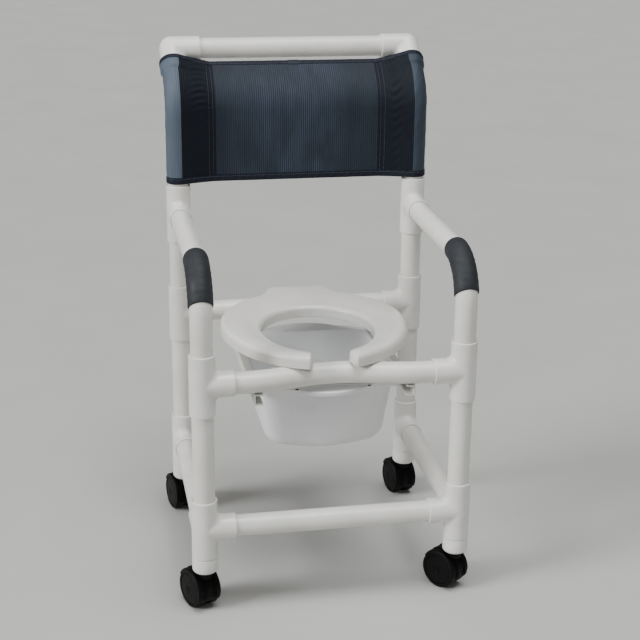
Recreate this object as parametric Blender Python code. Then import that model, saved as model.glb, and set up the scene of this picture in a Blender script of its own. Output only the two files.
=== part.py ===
"""Commode chair: a wheeled pipe frame with a hinged open-front seat, a slide-out pail and a mesh back.

Metres, +Z up, floor at Z = 0, and the chair faces -Y. Left is -X, as seen from in front of the chair.
Heights are above the floor. Distances called "back" are measured from the front posts towards +Y.
"""

import math

import bmesh
import bpy
from mathutils import Matrix, Vector

# Pipe and fittings
TUBE_R = 0.0211            # outer radius of the pipe
TUBE_WALL = 0.0036
FITTING_R = 0.025          # outer radius of a moulded fitting
OUTLET_R = 0.0247          # a side outlet is a little slimmer than the body that it leaves
SOCKET = 0.060             # fitting centre to socket mouth
ELBOW_SOCKET = 0.058
STOP = 0.028               # fitting centre to the ledge that stops the pipe
GAP = 0.0003               # between pieces that touch
SIDES = 12
WHEEL_SIDES = 20

# Frame
MID_X = 0.008              # centre plane of the frame, so that the turned casters keep the origin central
POST_X = 0.2497            # post centres from the centre plane
FRONT_Y = -0.2570
DEPTH = 0.4260             # front posts to rear posts
LOW_Z = 0.1750             # lower rails
SEAT_BAR_Z = 0.4690        # crossbars that carry the seat
ARM_Z = 0.6850
ARM_BEND_R = 0.085
ARM_BEND_STEPS = 7
POST_BEND_Z = 0.8920       # where the rear posts start to bend back
POST_BEND_R = 0.090
POST_BEND_ANGLE = math.radians(50)
POST_BEND_STEPS = 5
POST_TAIL = 0.077          # straight run from the bend to the centre of the top elbow
BOW = 0.024                # how far the front seat crossbar bends back in its middle
BOW_HALF = 0.170           # half the width of the bowed stretch
BOW_STEPS = 10

# Arm grips
GRIP_R = 0.0238
GRIP_BORE = TUBE_R + 0.0008
GRIP_BEND_STEPS = 6        # how many steps of the arm's bend the grip covers, from its start

# Casters
WHEEL_R = 0.038
WHEEL_WIDTH = 0.0185
WHEEL_INNER = 0.0052       # from the caster's centre plane to the inner face of a wheel
WHEEL_BORE = 0.0050
WHEEL_CHAMFER = 0.0035
AXLE_R = 0.0042
TRAIL = 0.024              # the axle behind the swivel axis
HOOD_INNER = 0.0396
HOOD_OUTER = 0.0424
HOOD_HALF = 0.0237
HOOD_ARC = (35, 205)       # degrees round the axle, from behind over the top to the front
PLATE_HALF = 0.0042
PLATE_R = 0.0405
PLATE_ARC = (40, 200)
HUB_R = 0.012              # the plate's lower edge round the axle
HUB_ARC = (235, 380)
BOSS_R = 0.0125
BOSS_BOTTOM = 0.0695
BOSS_TOP = 0.0820
STUB_SHORT = 0.0020        # how far an axle stub ends inside the outer face of its wheel
STEM_R = 0.0055
STEM_BORE = 0.0062
STEM_BOTTOM = 0.0755
STEM_TOP = 0.1250
CAP_BOTTOM = 0.0832
CAP_FOOT_R = 0.0165        # the cap's lower face, inside its rounded edge
CAP_ROUND = 0.0080
# How far each caster is turned about its stem, anticlockwise from straight behind
CASTERS = {
    "front_left": (-1, 0, 25),
    "front_right": (1, 0, 36),
    "rear_left": (-1, 1, 15),
    "rear_right": (1, 1, 12),
}

# Seat, measured back from the front posts
SEAT_BOTTOM = SEAT_BAR_Z + TUBE_R + GAP
SEAT_THICK = 0.0270
SEAT_HALF = 0.186
SEAT_SHIFT = -0.004        # the seat is clipped on a little off centre
SEAT_FRONT = -0.018
SEAT_REAR = 0.395
SEAT_MIDDLE = 0.205        # where the outer edge is widest
SEAT_ARC = (-76, 64)       # degrees round the outer edge, from the open front to the tab
SEAT_TAB_HALF = 0.066
SEAT_TAB_REAR = 0.430
SEAT_TAB_ROUND = 0.008
HOLE_HALF = 0.111
HOLE_MIDDLE = 0.160        # where the hole is widest
HOLE_ARC = (84, -62)       # degrees round the hole, from its rear to the open front
HOLE_FRONT = 0.020
HOLE_REAR = 0.287
MOUTH_HALF = 0.040         # half the gap at the open front
MOUTH_ROUND = 0.012
CLIP_X = 0.045
CLIP_WIDTH = 0.020
CLIP_WALL = 0.0030
CLIP_FOOT = 0.030

# Pail, measured back from the front posts
PAIL_TOP = 0.4380
PAIL_BOTTOM = 0.2990
PAIL_RIM_HALF = 0.150
PAIL_RIM_FRONT = 0.036
PAIL_RIM_REAR = 0.372
PAIL_RIM_DEPTH = 0.0095
PAIL_WALL = 0.0024
PAIL_TOP_HALF = 0.1345
PAIL_BASE_HALF = 0.116
PAIL_TOP_INSET = 0.016     # rim edge to wall, front and rear
PAIL_BASE_INSET = 0.030
PAIL_BULGE = 0.40          # how far the end walls bulge, as a share of the pull lips
PAIL_CORNER = 0.034
PAIL_FOOT_R = 0.022
LIP_FRONT = 0.033
LIP_REAR = 0.032
LIP_HALF = 0.084

# Pail runners
RUNNER_OUTER = 0.1540
RUNNER_WIDTH = 0.0165
RUNNER_WALL = 0.0024
RUNNER_TOP = SEAT_BAR_Z - TUBE_R - GAP
RUNNER_BOTTOM = PAIL_TOP - PAIL_RIM_DEPTH - GAP - RUNNER_WALL
RUNNER_FRONT = -0.012
RUNNER_REAR = 0.438

# Strap under the front crossbar
STRAP_HALF = 0.080
STRAP_WIDTH = 0.012
STRAP_THICK = 0.0016
SCREW_X = 0.070
SCREW_R = 0.0042
SCREW_HEIGHT = 0.0020

# Backrest
BACK_BOTTOM = 0.7510
BACK_TOP = 0.038           # from the sheet's top edge along the post to the elbow's centre
SLEEVE_INNER = 0.0222
SLEEVE_WIDE = 0.0262       # where the sleeve covers the elbow's socket
SLEEVE_FLARE = 0.006       # length of the step between the two
SLEEVE_WALL = 0.0013
SLEEVE_SEAM = 0.074        # post centre to the seam that closes the sleeve
PANEL_HALF = 0.0010
SLEEVE_STEPS = 9

REAR_Y = FRONT_Y + DEPTH
BORE_R = (TUBE_R + GAP) / math.cos(math.pi / SIDES)


def clear_scene():
    for old in list(bpy.data.objects):
        bpy.data.objects.remove(old, do_unlink=True)


def linear(value):
    return value / 12.92 if value <= 0.04045 else ((value + 0.055) / 1.055) ** 2.4


def make_material(name, hex_colour, roughness, metallic=0.0):
    material = bpy.data.materials.new(name)
    material.use_nodes = True
    shader = material.node_tree.nodes["Principled BSDF"]
    channels = [int(hex_colour[i:i + 2], 16) / 255 for i in (0, 2, 4)]
    colour = [linear(channel) for channel in channels] + [1.0]
    shader.inputs["Base Color"].default_value = colour
    shader.inputs["Roughness"].default_value = roughness
    shader.inputs["Metallic"].default_value = metallic
    material.diffuse_color = colour
    return material


def make_materials():
    return {
        "pipe": make_material("white_pvc", "D3D3CF", 0.42),
        "seat": make_material("seat_plastic", "DADAD6", 0.35),
        "pail": make_material("pail_plastic", "BDBEBE", 0.38),
        "grip": make_material("grip_vinyl", "3C4044", 0.70),
        "mesh": make_material("navy_mesh", "2C3540", 0.75),
        "black": make_material("black_nylon", "141416", 0.45),
        "tread": make_material("black_tread", "101011", 0.60),
        "steel": make_material("zinc_steel", "9A9C9E", 0.35, 1.0),
        "runner": make_material("runner_plastic", "CFCFCB", 0.45),
    }


# Mesh helpers

def circle(radius, sides, start=0.0):
    step = 2 * math.pi / sides
    return [(radius * math.cos(start + i * step), radius * math.sin(start + i * step)) for i in range(sides)]


def bridge(bm, rings, close=False):
    """Join rings of equal length with quads, and the last ring to the first where close is set."""
    loops = [[bm.verts.new(point) for point in ring] for ring in rings]
    pairs = list(zip(loops, loops[1:]))
    if close:
        pairs.append((loops[-1], loops[0]))
    count = len(loops[0])
    for lower, upper in pairs:
        for i in range(count):
            j = (i + 1) % count
            bm.faces.new((lower[i], lower[j], upper[j], upper[i]))
    return loops


def finish(name, bm, material, location=(0, 0, 0), angle=40):
    """Turn a closed bmesh into an object with smooth faces and sharp edges."""
    bmesh.ops.recalc_face_normals(bm, faces=bm.faces)
    mesh = bpy.data.meshes.new(name)
    bm.to_mesh(mesh)
    bm.free()
    if material:
        mesh.materials.append(material)
    mesh.shade_smooth()
    mesh.set_sharp_from_angle(angle=math.radians(angle))
    placed = bpy.data.objects.new(name, mesh)
    placed.location = location
    bpy.context.scene.collection.objects.link(placed)
    return placed


def boolean(target, tool, operation):
    """Join or cut the target with the tool, and drop the tool."""
    modifier = target.modifiers.new(operation, "BOOLEAN")
    modifier.operation = operation
    modifier.solver = "EXACT"
    modifier.object = tool
    bpy.context.view_layer.update()
    depsgraph = bpy.context.evaluated_depsgraph_get()
    result = bpy.data.meshes.new_from_object(target.evaluated_get(depsgraph))
    target.modifiers.clear()
    target.data = result
    bpy.data.objects.remove(tool)


def tidy_after_boolean(target):
    """Merge the slivers that a cut leaves and mark the sharp edges again."""
    bm = bmesh.new()
    bm.from_mesh(target.data)
    bmesh.ops.remove_doubles(bm, verts=bm.verts, dist=0.00002)
    bmesh.ops.dissolve_degenerate(bm, edges=bm.edges, dist=0.00002)
    bm.to_mesh(target.data)
    bm.free()
    target.data.shade_smooth()
    target.data.set_sharp_from_angle(angle=math.radians(40))


def turned(name, profile, material=None, sides=SIDES, start=0.0, close=False):
    """Turn a profile of (radius, height) points about Z. An open profile is capped at both ends."""
    bm = bmesh.new()
    rings = [[(x, y, height) for x, y in circle(radius, sides, start)] for radius, height in profile]
    loops = bridge(bm, rings, close)
    if not close:
        bm.faces.new(loops[0])
        bm.faces.new(loops[-1])
    return finish(name, bm, material)


def aim(placed, origin, direction):
    """Move a piece made along Z so that it starts at origin and runs along direction."""
    turn = Vector(direction).to_track_quat("Z", "Y").to_matrix().to_4x4()
    placed.data.transform(Matrix.Translation(Vector(origin)) @ turn)


def path_rings(path, side, radius, sides=SIDES):
    """Rings round each point of a path that lies in the plane with normal side."""
    normal = Vector(side)
    points = [Vector(point) for point in path]
    rings = []
    for i, point in enumerate(points):
        before = points[max(i - 1, 0)]
        after = points[min(i + 1, len(points) - 1)]
        across = (after - before).normalized().cross(normal)
        rings.append([point + normal * x + across * y for x, y in circle(radius, sides)])
    return rings


def pipe(name, path, side, material, outer=TUBE_R, inner=TUBE_R - TUBE_WALL):
    """An open pipe along a path."""
    bm = bmesh.new()
    rings = path_rings(path, side, outer)
    rings += reversed(path_rings(path, side, inner))
    bridge(bm, rings, close=True)
    return finish(name, bm, material)


def extruded(name, outline, low, high, material=None):
    """Extrude an outline of (y, z) points along X from low to high."""
    bm = bmesh.new()
    rings = [[(x, y, z) for y, z in outline] for x in (low, high)]
    loops = bridge(bm, rings)
    bm.faces.new(loops[0])
    bm.faces.new(loops[-1])
    return finish(name, bm, material)


# Points of the frame

def post(side, row=0, z=0.0):
    """A point on the centre line of a post; side is -1 or 1, row is 0 at the front and 1 at the rear."""
    return Vector((MID_X + side * POST_X, FRONT_Y + row * DEPTH, z))


def rear_post_path(side, start_z):
    """Centre line of a rear post's upper pipe, from start_z to the centre of the top elbow."""
    foot = post(side, 1)
    points = [foot + Vector((0, 0, start_z))]
    for i in range(POST_BEND_STEPS + 1):
        angle = POST_BEND_ANGLE * i / POST_BEND_STEPS
        back = POST_BEND_R * (1 - math.cos(angle))
        up = POST_BEND_R * math.sin(angle)
        points.append(foot + Vector((0, back, POST_BEND_Z + up)))
    points.append(points[-1] + tail_direction() * POST_TAIL)
    return points


def tail_direction():
    return Vector((0, math.sin(POST_BEND_ANGLE), math.cos(POST_BEND_ANGLE)))


def arm_path(side, start_y, steps):
    """Centre line of an arm from start_y forward and round the given steps of its bend."""
    corner = post(side, 0, ARM_Z)
    points = [Vector((corner.x, start_y, ARM_Z))]
    for i in range(steps + 1):
        angle = math.pi / 2 * i / ARM_BEND_STEPS
        back = ARM_BEND_R * (1 - math.sin(angle))
        down = ARM_BEND_R * (1 - math.cos(angle))
        points.append(corner + Vector((0, back, -down)))
    return points


# Pipe fittings

def bore_tool(length):
    """A stepped cutter for one outlet: the through hole and then the socket."""
    through = TUBE_R - TUBE_WALL - 0.0006
    return turned("bore", [(through, 0), (through, STOP), (BORE_R, STOP), (BORE_R, length + 0.002)])


def run_tool():
    """A stepped cutter for a straight run with a socket at each end."""
    through = TUBE_R - TUBE_WALL
    reach = SOCKET + 0.002
    half = [(BORE_R, reach), (BORE_R, STOP), (through, STOP)]
    return turned("run", [(r, -z) for r, z in half] + list(reversed(half)))


def tee(name, centre, outlets, material):
    """A vertical run with side outlets."""
    body = turned(name, [(FITTING_R, -SOCKET), (FITTING_R, SOCKET)], material)
    for direction in outlets:
        arm = turned("outlet", [(OUTLET_R, 0.004), (OUTLET_R, SOCKET)], start=0.1)
        aim(arm, (0, 0, 0), direction)
        boolean(body, arm, "UNION")
    boolean(body, run_tool(), "DIFFERENCE")
    for direction in outlets:
        tool = bore_tool(SOCKET)
        aim(tool, (0, 0, 0), direction)
        boolean(body, tool, "DIFFERENCE")
    tidy_after_boolean(body)
    body.location = centre
    return body


def top_elbow(name, centre, directions, material):
    """A square elbow with a ball-shaped outer corner."""
    bm = bmesh.new()
    bmesh.ops.create_uvsphere(bm, u_segments=16, v_segments=9, radius=FITTING_R + 0.0002)
    body = finish(name, bm, material)
    for direction in directions:
        arm = turned("outlet", [(FITTING_R, 0.001), (FITTING_R, ELBOW_SOCKET)], start=0.1)
        aim(arm, (0, 0, 0), direction)
        boolean(body, arm, "UNION")
    for direction in directions:
        tool = bore_tool(ELBOW_SOCKET)
        aim(tool, (0, 0, 0), direction)
        boolean(body, tool, "DIFFERENCE")
    tidy_after_boolean(body)
    body.location = centre
    return body


# The frame

def inward(side):
    return Vector((-side, 0, 0))


def add_rear_posts(side, word, mats):
    white = mats["pipe"]
    axis = (1, 0, 0)
    stop = STOP + GAP
    path = rear_post_path(side, ARM_Z + stop)
    path[-1] -= tail_direction() * stop
    pipe(f"rear_post_upper_{word}", path, axis, white)
    middle = [post(side, 1, SEAT_BAR_Z + stop), post(side, 1, ARM_Z - stop)]
    pipe(f"rear_post_middle_{word}", middle, axis, white)
    leg = [post(side, 1, LOW_Z + stop), post(side, 1, SEAT_BAR_Z - stop)]
    pipe(f"rear_leg_{word}", leg, axis, white)
    tee(f"arm_tee_{word}", post(side, 1, ARM_Z), [(0, -1, 0)], white)
    tee(f"seat_tee_rear_{word}", post(side, 1, SEAT_BAR_Z), [inward(side)], white)
    tee(f"foot_tee_rear_{word}", post(side, 1, LOW_Z), [(0, -1, 0)], white)
    elbow_centre = rear_post_path(side, ARM_Z)[-1]
    top_elbow(f"top_elbow_{word}", elbow_centre, [inward(side), -tail_direction()], white)


def add_front_posts(side, word, mats):
    white = mats["pipe"]
    axis = (1, 0, 0)
    stop = STOP + GAP
    leg = [post(side, 0, LOW_Z + stop), post(side, 0, SEAT_BAR_Z - stop)]
    pipe(f"front_leg_{word}", leg, axis, white)
    arm = arm_path(side, REAR_Y - stop, ARM_BEND_STEPS)
    arm.append(post(side, 0, SEAT_BAR_Z + stop))
    pipe(f"arm_tube_{word}", arm, axis, white)
    bend = arm_path(side, REAR_Y, GRIP_BEND_STEPS)[1:]
    pipe(f"arm_grip_{word}", bend, axis, mats["grip"], GRIP_R, GRIP_BORE)
    tee(f"seat_tee_front_{word}", post(side, 0, SEAT_BAR_Z), [inward(side)], white)
    tee(f"foot_tee_front_{word}", post(side, 0, LOW_Z), [inward(side), (0, 1, 0)], white)
    rail = [post(side, 0, LOW_Z) + Vector((0, stop, 0)), post(side, 1, LOW_Z) - Vector((0, stop, 0))]
    pipe(f"side_rail_{word}", rail, axis, white)


def crossbar_path(row, z):
    stop = Vector((STOP + GAP, 0, 0))
    return [post(-1, row, z) + stop, post(1, row, z) - stop]


def bow_at(x):
    """How far the front seat crossbar is bent back at x from the centre plane."""
    if abs(x) >= BOW_HALF:
        return 0.0
    return BOW * (1 + math.cos(math.pi * x / BOW_HALF)) / 2


def add_crossbars(mats):
    white = mats["pipe"]
    up = (0, 0, 1)
    pipe("foot_crossbar_front", crossbar_path(0, LOW_Z), up, white)
    pipe("seat_crossbar_rear", crossbar_path(1, SEAT_BAR_Z), up, white)
    start, end = crossbar_path(0, SEAT_BAR_Z)
    middle = []
    for i in range(BOW_STEPS + 1):
        x = BOW_HALF * (2 * i / BOW_STEPS - 1)
        middle.append(Vector((MID_X + x, FRONT_Y + bow_at(x), SEAT_BAR_Z)))
    pipe("seat_crossbar_front", [start] + middle + [end], up, white)
    left, right = (rear_post_path(side, ARM_Z)[-1] for side in (-1, 1))
    stop = Vector((STOP + GAP, 0, 0))
    pipe("top_rail", [left + stop, right - stop], up, white)


# Casters

def add_cap_and_stem(word, side, row, mats):
    shoulder = LOW_Z - SOCKET - GAP
    plug_top = LOW_Z - STOP - GAP
    hole_top = STEM_TOP + GAP
    profile = [
        (STEM_BORE, hole_top),
        (STEM_BORE, CAP_BOTTOM),
        (CAP_FOOT_R, CAP_BOTTOM),
        (FITTING_R - CAP_ROUND * 0.3, CAP_BOTTOM + CAP_ROUND * 0.3),
        (FITTING_R, CAP_BOTTOM + CAP_ROUND),
        (FITTING_R, shoulder),
        (TUBE_R, shoulder),
        (TUBE_R, plug_top),
    ]
    cap = turned(f"caster_cap_{word}", profile, mats["pipe"])
    cap.location = post(side, row)
    stem = turned(f"caster_stem_{word}", [(STEM_R, STEM_BOTTOM), (STEM_R, STEM_TOP)], mats["steel"])
    stem.location = post(side, row)


def arc(centre, radius, start, end, steps):
    """Points (y, z) on an arc, with angles in degrees from +Y towards +Z."""
    points = []
    for i in range(steps + 1):
        angle = math.radians(start + (end - start) * i / steps)
        points.append((centre[0] + radius * math.cos(angle), centre[1] + radius * math.sin(angle)))
    return points


def caster_housing(name, material):
    """Hood, centre plate, swivel boss and axle stubs in one moulding, with Z = 0 on the floor."""
    axle = (TRAIL, WHEEL_R)
    start, end = HOOD_ARC
    hood_outline = arc(axle, HOOD_OUTER, start, end, 9) + arc(axle, HOOD_INNER, end, start, 9)
    body = extruded(name, hood_outline, -HOOD_HALF, HOOD_HALF, material)
    plate_outline = arc(axle, PLATE_R, *PLATE_ARC, 8) + arc(axle, HUB_R, *HUB_ARC, 6)
    plate = extruded("plate", plate_outline, -PLATE_HALF, PLATE_HALF)
    boolean(body, plate, "UNION")
    boss = turned("boss", [(BOSS_R, BOSS_BOTTOM), (BOSS_R, BOSS_TOP)])
    boolean(body, boss, "UNION")
    # The boss is trimmed beside the plate so that it stays above the wheels
    inner, outer = PLATE_HALF + 0.0001, HOOD_HALF + 0.005
    for low, high in ((inner, outer), (-outer, -inner)):
        trim = extruded("trim", arc(axle, HOOD_INNER, 0, 345, 23), low, high)
        boolean(body, trim, "DIFFERENCE")
    hole = turned("hole", [(STEM_BORE, STEM_BOTTOM - GAP), (STEM_BORE, BOSS_TOP + 0.002)])
    boolean(body, hole, "DIFFERENCE")
    reach = WHEEL_INNER + WHEEL_WIDTH - STUB_SHORT
    stub = turned("stub", [(AXLE_R, -reach), (AXLE_R, reach)])
    aim(stub, (0, TRAIL, WHEEL_R), (1, 0, 0))
    boolean(body, stub, "UNION")
    tidy_after_boolean(body)
    return body


def caster_wheel(name, side, material):
    """One wheel of a pair, with a flat facet at its lowest point and its origin on the axle."""
    facet = math.pi / WHEEL_SIDES
    rim = WHEEL_R / math.cos(facet)
    inner = WHEEL_INNER
    outer = WHEEL_INNER + WHEEL_WIDTH
    profile = [
        (WHEEL_BORE, inner),
        (rim, inner),
        (rim, outer - WHEEL_CHAMFER),
        (rim - WHEEL_CHAMFER, outer),
        (WHEEL_BORE, outer),
    ]
    wheel = turned(name, profile, material, sides=WHEEL_SIDES, start=facet, close=True)
    # Laid on its side, with the facet that faced +X now facing down
    wheel.data.transform(Matrix.Rotation(math.pi / 2, 4, "Y"))
    if side < 0:
        wheel.data.transform(Matrix.Scale(-1, 4, (1, 0, 0)))
        wheel.data.flip_normals()
    return wheel


def add_casters(mats):
    for word, (side, row, degrees) in CASTERS.items():
        add_cap_and_stem(word, side, row, mats)
        swivel = bpy.data.objects.new(f"swivel_{word}", None)
        swivel.location = post(side, row)
        swivel.rotation_euler = (0, 0, math.radians(degrees))
        bpy.context.scene.collection.objects.link(swivel)
        housing = caster_housing(f"caster_housing_{word}", mats["black"])
        housing.parent = swivel
        for wheel_side, wheel_word in ((-1, "a"), (1, "b")):
            wheel = caster_wheel(f"wheel_{word}_{wheel_word}", wheel_side, mats["tread"])
            wheel.location = (0, TRAIL, WHEEL_R)
            wheel.parent = swivel


# Seat

def seat_outer(count):
    """Right half of the outer edge, from the open front round to the tab, as (x, back) points."""
    start, end = SEAT_ARC
    points = []
    for i in range(count + 1):
        angle = math.radians(start + (end - start) * i / count)
        reach = SEAT_MIDDLE - SEAT_FRONT if angle < 0 else SEAT_REAR - SEAT_MIDDLE
        points.append((SEAT_HALF * math.cos(angle), SEAT_MIDDLE + reach * math.sin(angle)))
    return points


def seat_inner(count):
    """Right half of the opening, from its rear middle round to the open front."""
    start, end = HOLE_ARC
    points = []
    for i in range(count + 1):
        angle = math.radians(start + (end - start) * i / count)
        reach = HOLE_MIDDLE - HOLE_FRONT if angle < 0 else HOLE_REAR - HOLE_MIDDLE
        points.append((HOLE_HALF * math.cos(angle), HOLE_MIDDLE + reach * math.sin(angle)))
    return points


def seat_outline():
    """The whole edge of the seat, anticlockwise from above."""
    right = [(MOUTH_HALF, SEAT_FRONT + MOUTH_ROUND)]
    right += seat_outer(12)
    right.append((SEAT_TAB_HALF, SEAT_REAR + SEAT_TAB_ROUND * 0.75))
    right.append((SEAT_TAB_HALF - SEAT_TAB_ROUND, SEAT_TAB_REAR - SEAT_TAB_ROUND / 2))
    left = [(-x, back) for x, back in reversed(right)]
    inner_right = seat_inner(14) + [(MOUTH_HALF - 0.008, HOLE_FRONT + 0.008)]
    inner_left = [(-x, back) for x, back in reversed(inner_right)]
    return right + left + inner_left + inner_right


def inset(outline, distance):
    """Move each edge of a closed anticlockwise outline inwards, with mitred corners."""
    moved = []
    count = len(outline)
    for i, point in enumerate(outline):
        here = Vector(point)
        into = (here - Vector(outline[i - 1])).normalized()
        out = (Vector(outline[(i + 1) % count]) - here).normalized()
        bisector = Vector((-into.y - out.y, into.x + out.x))
        reach = 2 * distance / bisector.length_squared
        moved.append((point[0] + bisector.x * reach, point[1] + bisector.y * reach))
    return moved


def add_seat(mats):
    """The seat hinges on the rear crossbar, so its origin is on that bar's axis."""
    hinge = Vector((MID_X + SEAT_SHIFT, REAR_Y, SEAT_BAR_Z))
    low = SEAT_BOTTOM - SEAT_BAR_Z
    high = low + SEAT_THICK
    # the height of each edge of the rim's section, and how far it is drawn in
    layers = [(low, 0.004), (low + 0.004, 0.0), (high - 0.007, 0.0), (high - 0.002, 0.0025), (high, 0.007)]
    edges = [(height, inset(seat_outline(), distance)) for height, distance in layers]
    count = len(edges[0][1])
    rings = []
    # One ring round the rim's section at each place, from the right tip round to the left tip
    for outer in range(count // 2):
        section = [(edge[outer], height) for height, edge in edges]
        section += [(edge[count - 1 - outer], height) for height, edge in reversed(edges)]
        rings.append([(x, back - DEPTH, height) for (x, back), height in section])
    bm = bmesh.new()
    loops = bridge(bm, rings)
    bm.faces.new(loops[0])
    bm.faces.new(loops[-1])
    finish("seat", bm, mats["seat"], hinge)
    add_seat_clips(hinge, low, mats)


def add_seat_clips(hinge, low, mats):
    """Each clip is a hook round the crossbar with a flat foot under the seat."""
    inner = BORE_R
    outer = BORE_R + CLIP_WALL
    under = low - GAP
    foot_low = under - CLIP_WALL
    meet_outer = math.degrees(math.acos(foot_low / outer))
    meet_inner = math.degrees(math.acos(under / inner)) if under < inner else 0.0
    outline = arc((0, 0), outer, 90 + meet_outer, 380, 9)
    outline += arc((0, 0), inner, 380, 90 + meet_inner, 9)
    outline += [(-CLIP_FOOT - outer, under), (-CLIP_FOOT - outer, foot_low)]
    for side, word in ((-1, "left"), (1, "right")):
        low_x = side * CLIP_X - CLIP_WIDTH / 2
        clip = extruded(f"seat_clip_{word}", outline, low_x, low_x + CLIP_WIDTH, mats["seat"])
        clip.location = hinge


# Pail

def pail_loop(half, front, rear, height, lip=0.0):
    """A rounded rectangle at one height. lip is how far its ends bulge, and 1 is the pull lips."""
    corner = min(PAIL_CORNER, half * 0.4)
    points = []
    corners = (
        (half - corner, rear - corner, 0),
        (-half + corner, rear - corner, 90),
        (-half + corner, front + corner, 180),
        (half - corner, front + corner, 270),
    )
    spans = {0: None, 90: (rear, LIP_REAR), 180: None, 270: (front, -LIP_FRONT)}
    for x, back, start in corners:
        if spans[start]:
            edge, reach = spans[start]
            sign = 1 if reach > 0 else -1
            for i in range(7):
                across = LIP_HALF * (1 - i / 3) * sign
                bulge = 1 - (across / LIP_HALF) ** 2
                points.append((across, edge + lip * reach * bulge, height))
        for i in range(4):
            angle = math.radians(start + 30 * i)
            points.append((x + corner * math.cos(angle), back + corner * math.sin(angle), height))
    return points


def add_pail(mats):
    wall = PAIL_WALL
    front, rear, half = PAIL_RIM_FRONT, PAIL_RIM_REAR, PAIL_RIM_HALF
    top, rim_low = PAIL_TOP, PAIL_TOP - PAIL_RIM_DEPTH

    def body(height, thick, squeeze=0.0):
        share = (top - height) / (top - PAIL_BOTTOM)
        width = PAIL_TOP_HALF + (PAIL_BASE_HALF - PAIL_TOP_HALF) * share - thick - squeeze
        away = PAIL_TOP_INSET + (PAIL_BASE_INSET - PAIL_TOP_INSET) * share + thick + squeeze
        return pail_loop(width, front + away, rear - away, height, PAIL_BULGE)

    foot = PAIL_FOOT_R
    rings = [
        body(PAIL_BOTTOM, 0, foot),
        body(PAIL_BOTTOM + foot * 0.30, 0, foot * 0.30),
        body(PAIL_BOTTOM + foot, 0),
        body(top - wall, 0),
        pail_loop(half - wall, front + wall, rear - wall, top - wall, 1),
        pail_loop(half - wall, front + wall, rear - wall, rim_low, 1),
        pail_loop(half, front, rear, rim_low, 1),
        pail_loop(half, front, rear, top - 0.0015, 1),
        pail_loop(half - 0.002, front + 0.002, rear - 0.002, top, 1),
        body(top, wall),
        body(PAIL_BOTTOM + foot, wall),
        body(PAIL_BOTTOM + foot * 0.30 + wall, wall, foot * 0.30),
        body(PAIL_BOTTOM + wall, wall, foot),
    ]
    bm = bmesh.new()
    loops = bridge(bm, rings)
    bm.faces.new(loops[0])
    bm.faces.new(loops[-1])
    finish("pail", bm, mats["pail"], (MID_X, FRONT_Y, 0))


def add_runners(mats):
    """Each runner is a channel that is open towards the pail, whose rim slides in it."""
    wall = RUNNER_WALL
    for side, word in ((-1, "left"), (1, "right")):
        web = RUNNER_OUTER
        tip = RUNNER_OUTER - RUNNER_WIDTH
        section = [
            (web, RUNNER_BOTTOM),
            (web, RUNNER_TOP),
            (tip, RUNNER_TOP),
            (tip, RUNNER_TOP - wall),
            (web - wall, RUNNER_TOP - wall),
            (web - wall, RUNNER_BOTTOM + wall),
            (tip, RUNNER_BOTTOM + wall),
            (tip, RUNNER_BOTTOM),
        ]
        bm = bmesh.new()
        rings = [[(side * x, y, z) for x, z in section] for y in (RUNNER_FRONT, RUNNER_REAR)]
        loops = bridge(bm, rings)
        bm.faces.new(loops[0])
        bm.faces.new(loops[-1])
        finish(f"pail_runner_{word}", bm, mats["runner"], (MID_X, FRONT_Y, 0))


def add_strap(mats):
    """A thin strap under the bowed crossbar, with a screw near each end."""
    top = SEAT_BAR_Z - TUBE_R - GAP
    steps = 6
    bm = bmesh.new()
    rings = []
    for i in range(steps + 1):
        x = STRAP_HALF * (2 * i / steps - 1)
        back = bow_at(x)
        front_edge = back - STRAP_WIDTH / 2
        rear_edge = back + STRAP_WIDTH / 2
        rings.append([
            (x, front_edge, top),
            (x, rear_edge, top),
            (x, rear_edge, top - STRAP_THICK),
            (x, front_edge, top - STRAP_THICK),
        ])
    loops = bridge(bm, rings)
    bm.faces.new(loops[0])
    bm.faces.new(loops[-1])
    finish("pail_strap", bm, mats["runner"], (MID_X, FRONT_Y, 0))
    head_top = top - STRAP_THICK - GAP
    head_low = head_top - SCREW_HEIGHT
    for side, word in ((-1, "left"), (1, "right")):
        profile = [(SCREW_R * 0.7, head_low), (SCREW_R, head_low + 0.0008), (SCREW_R, head_top)]
        screw = turned(f"strap_screw_{word}", profile, mats["black"], sides=10)
        screw.location = (MID_X + side * SCREW_X, FRONT_Y + bow_at(SCREW_X), 0)


# Backrest

def sleeve_loop(side, radius, seam_x):
    """A drop-shaped loop round a post, from the lower side of its seam round to the upper side."""
    reach = POST_X - seam_x
    touch = math.acos(radius / reach)
    start = -(math.pi - touch)
    points = []
    for i in range(SLEEVE_STEPS + 1):
        angle = start - 2 * start * i / SLEEVE_STEPS
        points.append((side * (POST_X + radius * math.cos(angle)), radius * math.sin(angle)))
    return points


def back_section(bore):
    """The outer edge and the two sleeve holes round a bore, as (x, across) points."""
    seam = POST_X - SLEEVE_SEAM
    radius = bore + SLEEVE_WALL
    right = [(seam, -PANEL_HALF)] + sleeve_loop(1, radius, seam) + [(seam, PANEL_HALF)]
    left = [(-x, -y) for x, y in right]
    holes = []
    for side in (-1, 1):
        holes.append(sleeve_loop(side, bore, seam + 0.004) + [(side * (seam + 0.004), 0.0)])
    return [right + left] + holes


def back_stations():
    """Points up the centre line of a post, each with the bore that the sleeve has there."""
    path = rear_post_path(0, BACK_BOTTOM)
    centre = path.pop()
    mouth = centre - tail_direction() * ELBOW_SOCKET
    stations = [(point, SLEEVE_INNER) for point in path]
    stations.append((mouth - tail_direction() * SLEEVE_FLARE, SLEEVE_INNER))
    stations.append((mouth - tail_direction() * SLEEVE_FLARE / 4, SLEEVE_WIDE))
    stations.append((centre - tail_direction() * BACK_TOP, SLEEVE_WIDE))
    return stations


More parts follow.
